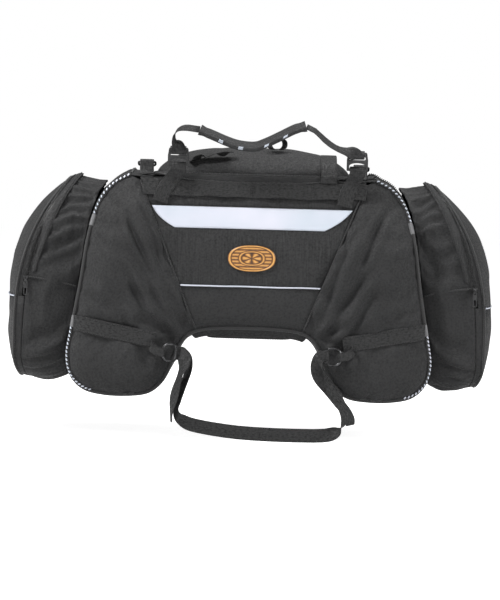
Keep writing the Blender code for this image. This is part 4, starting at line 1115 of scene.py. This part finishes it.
def load_webbing():
    """Webbing across the top band, slack between its bar tacks."""
    x = np.linspace(*LOAD_ENDS, 160)
    loose = smooth(np.min(np.abs(x[:, None] - (LOAD_ENDS[0], *BAR_TACKS, LOAD_ENDS[1])), axis=1) / 0.022)
    flat = belt_points(x, np.full(160, LOAD_Z))
    wave = 0.0012 * ripple(x, x * 0, 9, 0.09, 0.04)
    path = flat + np.column_stack([0 * x, -0.0003 - 0.0011 * loose, wave])
    tilt = np.column_stack([0 * x, 0.10 * loose, 1 + 0 * x])
    put(ribbon("molle_webbing_web", path, tilt, WEBBING, WEB_THICK), "bag", "webbing", "molle_webbing")
    z = np.linspace(0.2235, 0.2455, 12)
    for k, at in enumerate(BAR_TACKS):
        y = np.full(12, np.interp(at, x, flat[:, 1]) - 0.0014)
        for j, shift in enumerate((-0.0009, 0.0009)):
            line = np.column_stack([np.full(12, at + shift), y, z])
            stitches(f"bar_tack_{k}_{j}", line, (0, -1, 0), "bag", step=0.0028)


def leg_trim(side, sign):
    """A leg belt with its lines of stitching, and the stitching and welt of the slanted seam beside it."""
    x = sign * np.linspace(0.2725, 0.1458, 90)
    path = belt_points(x, belt_z(x)) + (0, 0.0004, 0)
    belt = ribbon(f"leg_belt_{side}_web", path, (0, 0, 1), WEBBING, WEB_THICK)
    put(belt, "bag", "webbing", f"leg_belt_{side}")
    for edge, up in (("low", -0.0105), ("high", 0.0105)):
        stitches(f"leg_belt_{side}_stitching_{edge}", path[4:-4] + (0, -0.0011, up), (0, -1, 0), "bag")
    x, z = along_seam(0.0055, sign)
    line = on_front(x, z, leg_relief(x, z, side) + 0.0004)
    stitches(f"seam_{side}_stitching", line[2:-2], (0, -1, 0), "bag", "body_fabric")
    line = on_front(*along_seam(0.0006, sign), 0.0002)
    put(cord_curve(f"seam_{side}_welt", line, 0.0011, ROPE), "bag", "body_fabric")


def front_trim():
    """Everything sewn flat on the front."""
    reflective_trim()
    load_webbing()
    for side, sign in SIDES.items():
        leg_trim(side, sign)


def badge():
    """A plain oval patch with raised rims and bars."""
    angles = np.linspace(0, math.tau, 120, endpoint=False)
    rows, relief = [], []
    for k, r in enumerate(np.r_[1.0, np.linspace(1.0, 0, 44)]):
        x, z = superellipse(angles, BADGE_A * r, BADGE_B * r, 2.3)
        rim = np.exp(-((r - 0.93) / 0.035) ** 2) + 0.8 * np.exp(-((r - 0.50) / 0.035) ** 2)
        bars = 0.7 * (0.5 + 0.5 * np.cos(z / 0.0052 * math.tau))
        bars = bars * smooth((r - 0.56) / 0.05) * smooth((0.86 - r) / 0.05)
        star = 0.8 * (0.5 + 0.5 * np.cos(angles * 6)) * smooth((0.42 - r) / 0.08) * smooth(r / 0.2)
        height = np.clip(rim + bars + star, 0, 1) if k else np.zeros(120)
        depth = 0.0016 + 0.0011 * height if k else height
        rows.append(np.column_stack([BADGE_X + x, BADGE_BACK_Y - depth, BADGE_Z + z]))
        relief.append(height)
    piece = grid_object("badge_patch", rows, TAN, wrap=True, inside=(BADGE_X, -0.155, BADGE_Z))
    # The relief height is stored for the badge's colour, which paints shade into its grooves.
    store = piece.data.attributes.new("relief", "FLOAT", "POINT")
    store.data.foreach_set("value", np.concatenate(relief).astype(np.float32))
    put(piece, "bag", "badge", "badge")


# ---- lid ------------------------------------------------------------------------------------------
def lid_z(x, y):
    """Height of the lid's smooth top surface."""
    r = ((np.abs(x) / LID_A) ** LID_POWER + (np.abs(y) / LID_B) ** LID_POWER) ** (1 / LID_POWER)
    return LID_RIM + LID_RISE * np.clip(1 - r ** 3, 0, 1) ** 0.6


def shoulder_trim():
    """Toothed webbing that lies over the right shoulder."""
    line = spline([(0.1750, -0.100, 0.2590), (0.1880, -0.102, 0.2600), (0.2030, -0.104, 0.2535),
                   (0.2180, -0.106, 0.2425), (0.2310, -0.108, 0.2270), (0.2400, -0.108, 0.2080),
                   (0.2450, -0.108, 0.1900)], 110)
    line[:, 2] += 0.0012 * ripple(line[:, 0] * 2.5, line[:, 2], 14, 0.05, 0.02)
    put(ribbon("shoulder_trim_web", line, (0, 1, 0), 0.0215, 0.0018, TAPE), "bag", "webbing")
    tangent = np.gradient(line, axis=0)
    out = np.column_stack([-tangent[:, 2], 0 * tangent[:, 1], tangent[:, 0]])
    out /= np.linalg.norm(out, axis=1)[:, None]
    places = spaced_along(line[6:-4] + out[6:-4] * 0.0012, 0.0030, out[6:-4])
    put(pellets("shoulder_trim_teeth", places, (0.0009, 0.0034, 0.0014), DARK_PLASTIC), "bag", "zip")


def zip_teeth(name, track, out, body):
    """The coil of a zip: two rows of small teeth along its track."""
    places = spaced_along(track, 0.0021, out)
    return put(pellets(name, places, (0.00055, 0.0024, 0.0008), DARK_PLASTIC), body, "zip")


def lid_top(steps=150):
    """The lid's padded top."""
    angles = np.linspace(0, math.tau, steps, endpoint=False)
    rows = []
    for r in np.r_[1.0, 0.992, 0.975, 0.95, np.linspace(0.91, 0, 26)]:
        x, y = superellipse(angles, LID_A * r, LID_B * r, LID_POWER)
        z = lid_z(x, y) + 0.0034 * ripple(x, y, 77, 0.16, 0.04) * smooth((0.92 - r) / 0.2)
        rows.append(np.column_stack([x, y, z]))
    piece = grid_object("lid_panel_cloth", rows, RIB, LINING, wrap=True, inside=(0, 0, 0.1))
    x, y = np.array(rows)[..., 0], np.array(rows)[..., 1]
    held = np.zeros(x.shape, bool)
    held[:3] = True
    held |= (np.abs(x - LID_STRAP_X) < 0.016) & (y < -0.05)
    held |= np.hypot(x - LOOP_X, y - LOOP_Y) < 0.022
    settle([(piece, held.ravel())], (0, 0, -3.0), 0.010, 0.005)
    weld(piece)
    put(thicken(piece, WALL_CLOTH), "lid", "rib_fabric", "lid_panel")


def lid_flap():
    """Storm flap over the front of the zip, with its bound hem and stitching."""
    turn = np.radians(np.linspace(-166, -14, 150))
    inner = superellipse(turn, LID_A - 0.0005, LID_B - 0.0005, LID_POWER)
    outer = superellipse(turn, LID_A + 0.0050, 0.1472, LID_POWER)
    hem = superellipse(turn, LID_A + 0.0065, 0.1486, LID_POWER)
    sag = 0.0030 * (1 - (hem[0] / LID_A) ** 2).clip(0)
    drop = (0.0075 + sag + 0.0008 * ripple(hem[0], hem[1], 6, 0.08, 0.03)) * (np.abs(hem[1]) / 0.1484) ** 24
    rows = [np.column_stack([*inner, 0 * turn + 0.2588]), np.column_stack([*outer, 0 * turn + 0.2576]),
            np.column_stack([*hem, 0.2568 - drop * 0.5]),
            np.column_stack([hem[0], hem[1] - 0.0002, 0.2566 - drop])]
    sheet("lid_flap_cloth", rows, 0.0013, "lid_flap", body="lid")
    put(cord_curve("lid_flap_binding", rows[-1] + (0, 0.0002, -0.0003), 0.0012, ROPE), "lid", "piping")
    line = rows[1] * (1, 1, 0) + (0, 0.002, 0.2584)
    stitches("lid_flap_stitching", line[8:-8], (0, 0, 1), "lid", "rib_fabric")


def lid_webbing():
    """Webbing on the lid: the strap at the front right, a slack end at the left, and a standing loop."""
    y = np.linspace(-0.056, -0.1285, 16)
    path = list(zip(np.full(16, LID_STRAP_X), y, lid_z(np.full(16, 0.104), y) + 0.0018))
    path += [(LID_STRAP_X, *point) for point in ((-0.1370, 0.2618), (-0.1440, 0.2606), (-0.1492, 0.2580),
                                                 (-0.1508, 0.2540), (-0.1510, 0.2470))]
    made = ribbon("lid_strap_web", spline(path, 60), (1, 0, 0), WEBBING, WEB_THICK)
    put(made, "lid", "webbing", "lid_strap")
    route = spline([(-0.1000, -0.1225, 0.2730), (-0.0900, -0.1200, 0.2800), (-0.0760, -0.1165, 0.2835),
                    (-0.0620, -0.1150, 0.2890), (-0.0480, -0.1130, 0.2880), (-0.0330, -0.1110, 0.2925)], 70)
    x = route[:, 0]
    clear = lid_z(x, route[:, 1]) + 0.0030 + 0.0030 * (1 + ripple(x, 0 * x, 31, 0.04, 0.015))
    route[:, 2] = np.maximum(route[:, 2], clear)
    tilt = np.column_stack([0.25 + 0 * x, 0.9 + 0 * x, 0.35 * np.sin(x * 160)])
    put(ribbon("lid_slack_web", route, tilt, 0.019, WEB_THICK), "lid", "webbing")
    foot_z = float(lid_z(LOOP_X, LOOP_Y)) + 0.0112
    along, up = superellipse(np.radians(np.linspace(-60, 240, 60)), 0.013, 0.009, 2.4)
    yaw = math.radians(22)
    path = np.column_stack([LOOP_X + along * math.cos(yaw), LOOP_Y + along * math.sin(yaw), foot_z + up])
    across = (-math.sin(yaw), math.cos(yaw), 0)
    put(ribbon("lid_loop_web", path, across, 0.020, 0.0018), "lid", "webbing", "lid_loop")


def main_zip():
    """The zip round three sides of the lid."""
    track = superellipse(np.radians(np.linspace(-225, 45, 240)), LID_A + 0.003, LID_B + 0.0035, LID_POWER)
    line = np.column_stack([*track, np.full(240, 0.2518)])
    away = unit(line * (1, 1, 0))
    put(ribbon("main_zip_tape", line - (0, 0, 0.0006), away, 0.0070, 0.0008, TAPE), "bag", "zip", "main_zip")
    zip_teeth("main_zip_teeth", line + (0, 0, 0.0004), (0, 0, 1), "bag")


def lid():
    """Padded lid with its storm flap, webbing and zip."""
    lid_top()
    lid_flap()
    lid_webbing()
    main_zip()


def slider(node, along, out, size):
    """Zip slider: a waisted wedge body with a bridge over it, at its CAD piece's centre."""
    low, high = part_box(node)
    centre, along = np.array((low + high) / 2), np.array(along, float)
    side = np.cross(along, out)
    rings = []
    turn = np.linspace(0, math.tau, 20, endpoint=False)
    for t in np.linspace(-1, 1, 13):
        width = size[1] * (0.72 + 0.28 * t - 0.22 * math.cos(t * math.pi / 2) ** 2)
        a, b = superellipse(turn, width, size[2] * (1 - 0.35 * t * t), 4)
        rings.append(centre + along * size[0] * t + np.outer(a, side) + np.outer(b, out))
    made = grid_object(f"{node}_body", rings, PLASTIC, wrap=True, caps=True, inside=centre)
    put(made, node, "plastic", node)
    arch = [centre + along * size[0] * 0.62 * math.cos(a)
            + np.array(out) * (size[2] * 0.85 + 0.0013 * math.sin(a)) for a in np.linspace(0, math.pi, 12)]
    put(cord_curve(f"{node}_body_bridge", arch, 0.0007, METAL), node, "plastic")


def pull(node, axis, material):
    """Zip pull: a flat tongue with a hole at each end, in the box of its CAD piece."""
    low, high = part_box(node)
    size, centre = high - low, (low + high) / 2
    half_w, long = size[1 if axis == "x" else 0] / 2, size[0 if axis == "x" else 2]
    outline = rounded(-half_w, half_w, -long, 0, half_w * 0.7)
    hole = [(half_w * 0.42 * math.cos(a), -half_w * 0.8 + half_w * 0.42 * math.sin(a))
            for a in np.linspace(0, math.tau, 16, endpoint=False)]
    grip = rounded(-half_w * 0.45, half_w * 0.45, -long + half_w * 0.5, -long * 0.52, half_w * 0.3)
    made = plate(f"{node}_tongue", [outline, hole, grip], 0.0016, 0.0004, material)
    shift = np.array([centre.x, centre.y, high.z])
    if axis == "x":
        made.data.transform(Euler((math.pi / 2, 0, math.pi / 2)).to_matrix().to_4x4())
        co = points_of(made.data)
        first, last = co.min(axis=0), co.max(axis=0)
        shift = np.array([low.x - first[0], *(np.array(centre) - (last + first) / 2)[1:]])
    set_points(made.data, points_of(made.data) + shift)
    put(made, node, "plastic", node)


# ---- end pockets ----------------------------------------------------------------------------------
def dome(angle, scale=1.0):
    """Points of the pocket's dome outline, y and z, at angles from +Y."""
    up = np.sin(angle) >= 0
    upper = superellipse(angle, POCKET_HALF * scale, POCKET_UP * scale, 2.7)
    lower = superellipse(angle, POCKET_HALF * scale, POCKET_DOWN * scale, 5)
    return np.where(up, upper[0], lower[0]), POCKET_Z + np.where(up, upper[1], lower[1])


def seam_at(z):
    """Distance of the pocket face's edge seam from the middle, at height z."""
    above, below = np.maximum(0.0, z / 0.24), np.maximum(0.0, (-0.03 - z) / 0.042)
    return 0.3665 - 0.075 * above ** 2.6 - 0.014 * below ** 2


SIDE_WALL = spline(OUTLINE, 90, 0, 9)
SIDE_WALL_IN = inward(SIDE_WALL)


def wall_x(y, z):
    """Distance of the body's side wall from the middle."""
    found = []
    for one_y, one_z in zip(y, z):
        out = SIDE_WALL[:, 2] * (1 - (one_y / half_depth(SIDE_WALL[:, 1])) ** 2)
        px, pz = SIDE_WALL[:, 0] - SIDE_WALL_IN[:, 0] * out, SIDE_WALL[:, 1] - SIDE_WALL_IN[:, 1] * out
        lowest = int(np.argmin(pz)) + 1
        found.append(np.interp(one_z, pz[:lowest][::-1], px[:lowest][::-1]))
    return np.array(found)


def pocket_side(angle, v, sign, proud=0.0):
    """Points of the pocket's gusset: v is 0 at the body and 1 at the face's seam."""
    angle = np.atleast_1d(angle)
    seam_y, seam_z = dome(angle)
    wall_y, wall_z = dome(angle, 0.985)
    wall = np.maximum(wall_x(wall_y, wall_z), wall_x(wall_y, POCKET_Z + (wall_z - POCKET_Z) * 0.96)) + 0.0012
    swell = 0.006 * 4 * v * (1 - v) + proud
    y = wall_y + (seam_y - wall_y) * v
    z = wall_z + (seam_z - wall_z) * v
    reach = np.hypot(y, z - POCKET_Z)
    x = wall + (seam_at(seam_z) - wall) * v
    return np.column_stack([sign * x, y * (1 + swell / reach), z + (z - POCKET_Z) * swell / reach])


def pocket_face(angle, r, sign, proud=0.0):
    """Points of the pocket's bulged outer face, r from 0 at its centre to 1 at the seam."""
    y, z = dome(angle, r)
    edge_z = dome(angle)[1]
    base = seam_at(POCKET_Z) + (seam_at(edge_z) - seam_at(POCKET_Z)) * r ** 2.6
    return np.column_stack([sign * (base + POCKET_BULGE * (1 - r * r) ** 0.6 + proud), y, z])


def pocket_folds(angle, v, side):
    """Folds of the pocket's gusset: level ones above, slack deep ones near the foot."""
    seed = {"left": 4, "right": 6}[side]
    degrees = np.degrees(angle) % 360
    long = POCKET_UP * np.radians(degrees)
    proud = 0.0022 * ripple(long, v * 0.09, seed, 0.09, 0.025)
    for k, centre in enumerate((112, 124, 133, 143, 151, 160)):
        lean = centre + (8 if side == "left" else -9) * (v - 0.4) + 2 * math.sin(5 * v + k)
        depth = (0.0026, 0.0036, 0.0024, 0.0034, 0.0026, 0.0022)[(k + seed) % 6]
        for mirror in (degrees, 180 - degrees):
            proud += depth * valley(mirror, lean, 2.3)
    for centre, depth in ((190, 0.0040), (207, 0.0046), (222, 0.0036), (250, 0.0030)):
        lean = centre + 16 * (v - 0.5)
        for mirror in (degrees, 540 - degrees):
            proud += depth * valley(mirror, lean, 4.5)
    return proud * math.sin(math.pi * min(v / 0.84, 1)) ** 0.8


def pockets():
    """An end pocket on each side, with its storm band, zip, piping, slider and pull."""
    for side, sign in SIDES.items():
        angles = np.radians(np.linspace(0, 360, 200, endpoint=False))
        grid = [pocket_side(angles, v, sign, pocket_folds(angles, v, side)) for v in np.linspace(0, 0.84, 26)]
        piece = grid_object(f"pocket_gusset_{side}_cloth", grid, BODY, LINING, wrap=True,
                            inside=(sign * 0.3, 0, POCKET_Z))
        held = np.zeros((26, 200), bool)
        held[0] = held[-3:] = True
        settle([(piece, held.ravel())], (0, 0, -2.5), 0.020, 0.006)
        put(thicken(piece, POCKET_CLOTH), "bag", "body_fabric", f"pocket_gusset_{side}")
        pocket_halves(side, sign)
        steps = np.linspace(0.03, 0.83, 40)
        line = np.vstack([pocket_side(math.radians(a), v, sign, 0.0018)
                          for a, v in zip(178 - 3.2 * steps ** 0.7, steps)])
        put(cord_curve(f"pocket_dart_{side}", line, 0.0012, ROPE), "bag", "body_fabric")
        track = np.radians(np.linspace(3, 176, 160))
        line = pocket_side(track, ZIP_V, sign, 0.0006)
        out = line * (0, 1, 1) - (0, 0, POCKET_Z)
        tape = ribbon(f"pocket_zip_{side}_tape", line, (sign, 0, 0), 0.0100, 0.0008, TAPE)
        put(tape, "bag", "zip", f"pocket_zip_{side}")
        zip_teeth(f"pocket_zip_{side}_teeth", line + out * 0.006, out, "bag")
        pocket_band(side, sign)


def pocket_halves(side, sign):
    """The fixed lower face and the zipped upper flap, which bends just above the cross piping."""
    for part, start, stop, skirt in (("lower", 180, 360, 0.85), ("flap", 0, 180, 0.90)):
        angles = np.radians(np.linspace(start, stop, 120))
        grid = [pocket_side(angles, v, sign) for v in np.linspace(skirt, 0.985, 5)]
        for r in np.linspace(1.0, 0.0, 34):
            y, z = dome(angles, r)
            slack = 0.0035 * ripple(y, z, 90 + sign, 0.13, 0.04) * (1 - r ** 3)
            grid.append(pocket_face(angles, r, sign, slack))
        piece = grid_object(f"pocket_{part}_{side}_cloth", grid, BODY, LINING,
                            inside=(sign * 0.25, 0, POCKET_Z))
        weld(piece)
        thicken(piece, POCKET_CLOTH, 0)
        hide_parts(f"pocket_{part}_{side}")
        if part == "lower":
            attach(piece, "bag")
        else:
            bend(piece)
    for part, start, stop in (("upper", 0, 180), ("lower", 180, 360)):
        angles = np.radians(np.linspace(start, stop, 120))
        line = pocket_side(angles, 1.0, sign, 0.0006)
        cord = cord_curve(f"pocket_piping_{part}_{side}", line, 0.0019, ROPE, sides=2)
        if part == "lower":
            put(cord, "bag", "piping")
            continue
        mesh = bpy.data.meshes.new_from_object(cord.evaluated_get(bpy.context.evaluated_depsgraph_get()))
        bpy.data.objects.remove(cord)
        cord = add_object(f"pocket_piping_upper_{side}", mesh)
        bend(cord)
    y = np.linspace(-0.1235, 0.1235, 80)
    r = np.abs(y) / POCKET_HALF
    x = seam_at(POCKET_Z) + POCKET_BULGE * (1 - r * r).clip(0) ** 0.6
    line = np.column_stack([sign * (x + 0.0010), y, np.full(80, POCKET_Z)])
    put(cord_curve(f"pocket_cross_piping_{side}", line, 0.0011, SILVER), "bag", "reflective")


def bend(piece):
    """Bake the transform of a piece of the zipped flap into its points."""
    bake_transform(piece)


def pocket_band(side, sign):
    """Storm band that covers the zip: a smooth strip, narrower towards the slider."""
    angles = np.radians(np.linspace(5, 173.5, 150))
    narrow = smooth(np.minimum(angles, math.pi - angles) / 0.5)
    clear = smooth((angles - math.radians(148)) / math.radians(13))
    edge = BAND_OUT - (BAND_OUT - BAND_AT_SLIDER) * clear
    rows = []
    for t in np.linspace(0, 1, 12):
        v = edge - (edge - BAND_IN) * (0.45 + 0.55 * narrow) * (1 - t)
        proud = 0.0030 * math.sin(math.pi * min(t * 1.15 + 0.1, 1)) ** 0.6 + 0.0004
        rows.append(np.vstack([pocket_side(a, w, sign, proud) for a, w in zip(angles, v)]))
    sheet(f"pocket_band_{side}", rows, 0.0010, inside=(sign * 0.3, 0, POCKET_Z), outer=SMOOTH)
    line = rows[2] + (rows[2] * (0, 1, 1) - (0, 0, POCKET_Z)) * 0.004
    away = line * (0, 1, 1) - (0, 0, POCKET_Z)
    stitches(f"pocket_band_{side}_stitching", line[4:-4], away[4:-4], "bag", "body_fabric")


def sliders_and_pulls():
    """The hardware of the three zips."""
    slider("main_slider", (0, -1, 0), (0, 0, 1), (0.0060, 0.0045, 0.0022))
    pull("main_pull", "x", BRIGHT)
    for side in SIDES:
        slider(f"pocket_slider_{side}", (0, 0, 1), (0, -1, 0), (0.0060, 0.0044, 0.0020))
        pull(f"pocket_pull_{side}", "z", PLASTIC)


# ---- handle ---------------------------------------------------------------------------------------
def ladder_lock(side):
    """Moulded lock: rounded body, arched opening for the front strap, slot for the handle's webbing."""
    x = LOCK_X[side]
    outline = [(-0.0165, -0.0015), (-0.0150, -0.0022), (0.0150, -0.0022), (0.0165, -0.0015), (0.0165, 0.0150),
               (0.0158, 0.0190), (0.0150, 0.0250), (0.0135, 0.0268), (0.0070, 0.0272), (0, 0.0266),
               (-0.0070, 0.0272), (-0.0135, 0.0268), (-0.0150, 0.0250), (-0.0158, 0.0190), (-0.0165, 0.0150)]
    arch = [(-0.0125, 0.0022), (0.0125, 0.0022)]
    arch += [(0.0125 * math.cos(a), 0.0055 + 0.0047 * math.sin(a)) for a in np.linspace(0, math.pi, 16)]
    slot = rounded(-0.0125, 0.0125, 0.0150, 0.0195, 0.0016)
    made = plate(f"ladder_lock_{side}_frame", [outline, arch, slot], 0.0046, 0.0009, PLASTIC)
    set_points(made.data, points_of(made.data) + (x, HANDLE_Y, HANDLE_Z))
    put(made, "handle", "plastic", f"ladder_lock_{side}")
    turn, boss_z = np.linspace(0, math.tau, 24, endpoint=False), HANDLE_Z + BOSS_Z
    for k, boss_x in enumerate((x - BOSS_X, x + BOSS_X)):
        rings = [[(boss_x + r * math.cos(a), HANDLE_Y - d, boss_z + r * math.sin(a)) for a in turn]
                 for r, d in BOSS_PROFILE]
        boss = grid_object(f"ladder_lock_{side}_boss_{k}", rings, PLASTIC, wrap=True,
                           inside=(boss_x, 0, boss_z))
        weld(boss)
        put(boss, "handle", "plastic")


# The handle's webbing, point by point, as for the strap: the left piece from its lock up, the right one down.
HANDLE_LEFT = [
    (-0.1172, -0.1535, 0.2990, 1, 0, 0), (-0.1170, -0.1537, 0.2925, 1, 0, 0),
    (-0.1170, -0.1560, 0.2870, 1, 0, 0), (-0.1172, -0.1598, 0.2868, 1, 0, 0),
    (-0.1176, -0.1625, 0.2915, 1, 0, 0.1),
    (-0.1190, -0.1642, 0.2985, 0.85, 0.5, 0.1), (-0.1235, -0.1660, 0.3060, 0.3, 0.95, 0.1),
    (-0.1235, -0.1660, 0.3160, 0.1, 0.99, 0.1), (-0.1180, -0.1660, 0.3240, 0, 0.97, 0.2),
    (-0.1080, -0.1660, 0.3275, 0, 0.94, 0.35), (-0.0970, -0.1660, 0.3272, *GRIP_ACROSS),
    (-0.0845, -0.1660, 0.3255, *GRIP_ACROSS),
]
HANDLE_RIGHT = [
    (0.0800, -0.1660, 0.3345, *GRIP_ACROSS), (0.0900, -0.1660, 0.3305, *GRIP_ACROSS),
    (0.1000, -0.1660, 0.3225, 0, 0.9, 0.42), (0.1130, -0.1660, 0.3110, 0, 0.88, 0.46),
    (0.1280, -0.1660, 0.3020, 0, 0.9, 0.4), (0.1420, -0.1650, 0.2975, 0.1, 0.8, 0.55),
    (0.1530, -0.1630, 0.2945, 0.4, 0.25, 0.85), (0.1585, -0.1622, 0.2905, 0.8, 0, 0.5),
    (0.1598, -0.1595, 0.2868, 1, 0, 0.1), (0.1600, -0.1560, 0.2870, 1, 0, 0),
    (0.1600, -0.1537, 0.2925, 1, 0, 0), (0.1600, -0.1535, 0.2990, 1, 0, 0),
]
GRIP_LINE = [
    (-0.0845, -0.1665, 0.3252), (-0.0620, -0.1665, 0.3165), (-0.0434, -0.1665, 0.3090),
    (-0.0233, -0.1665, 0.3030), (0.0, -0.1665, 0.3015), (0.0155, -0.1665, 0.3065),
    (0.0388, -0.1665, 0.3180), (0.0620, -0.1665, 0.3300), (0.0790, -0.1665, 0.3350),
]


def front_strap(side, reach=0.0042):
    """Webbing from the body's front up through a ladder lock and back down."""
    foot, top = STRAP_FOOT_X[side], LOCK_X[side]
    path = [(foot, -0.1515, 0.2120), (foot + (top - foot) * 0.2, -0.1519, 0.2300),
            (foot + (top - foot) * 0.65, -0.1530, 0.2480), (top, HANDLE_Y - reach, 0.2620)]
    path += [(top, HANDLE_Y - reach * math.cos(a), HANDLE_Z + reach * math.sin(a))
             for a in np.radians(range(0, 181, 30))]
    path += [(top, HANDLE_Y + reach, 0.2610), (top - (top - foot) * 0.3, HANDLE_Y + 0.0035, 0.2520)]
    made = ribbon(f"front_strap_{side}_web", spline(path, 90), (1, 0, 0), 0.0235, WEB_THICK)
    put(made, "bag", "webbing", f"front_strap_{side}")


def handle():
    """Front straps, ladder locks, webbing and padded grip with its reflective marks."""
    for side in SIDES:
        ladder_lock(side)
        front_strap(side)
    for side, route, width in (("left", HANDLE_LEFT, WEBBING), ("right", HANDLE_RIGHT, 0.022)):
        web = routed(f"handle_web_{side}_web", spline(route, 90), width, WEB_THICK)
        put(web, "handle", "webbing", f"handle_web_{side}")
    line = spline(GRIP_LINE, 120)
    from_end = 1 - np.abs(np.linspace(-1, 1, 120))
    flare = 1 + 0.10 * np.exp(-(from_end / 0.06) ** 2) - 0.06 * np.exp(-(from_end - 0.1) ** 2 / 0.002)
    grip = ribbon("handle_grip_wrap", line, GRIP_ACROSS, 0.0280 * flare, 0.0078 * flare, GRIP, sides=28)
    put(grip, "handle", "grip", "handle_grip")
    tangent = unit(np.gradient(line, axis=0))
    front = np.array((0, -0.0037, 0)) - np.array(GRIP_ACROSS) * 0.0105
    for k, at in enumerate((24, 46, 74, 96)):
        mark = [(line[at] + tangent[at] * step * 0.0006 + front,
                 (0.35, 0, 0.93 if step % 4 else -0.93), (0, -1, 0.1)) for step in range(-5, 6, 2)]
        put(pellets(f"grip_mark_{k}", mark, (0.0024, 0.0005, 0.0004), SILVER), "handle", "reflective")


camera()
studio()
strap()
rings()
leg_panels()
centre_panels()
walls()
piping()
front_trim()
badge()
lid()
pockets()
sliders_and_pulls()
handle()
shoulder_trim()
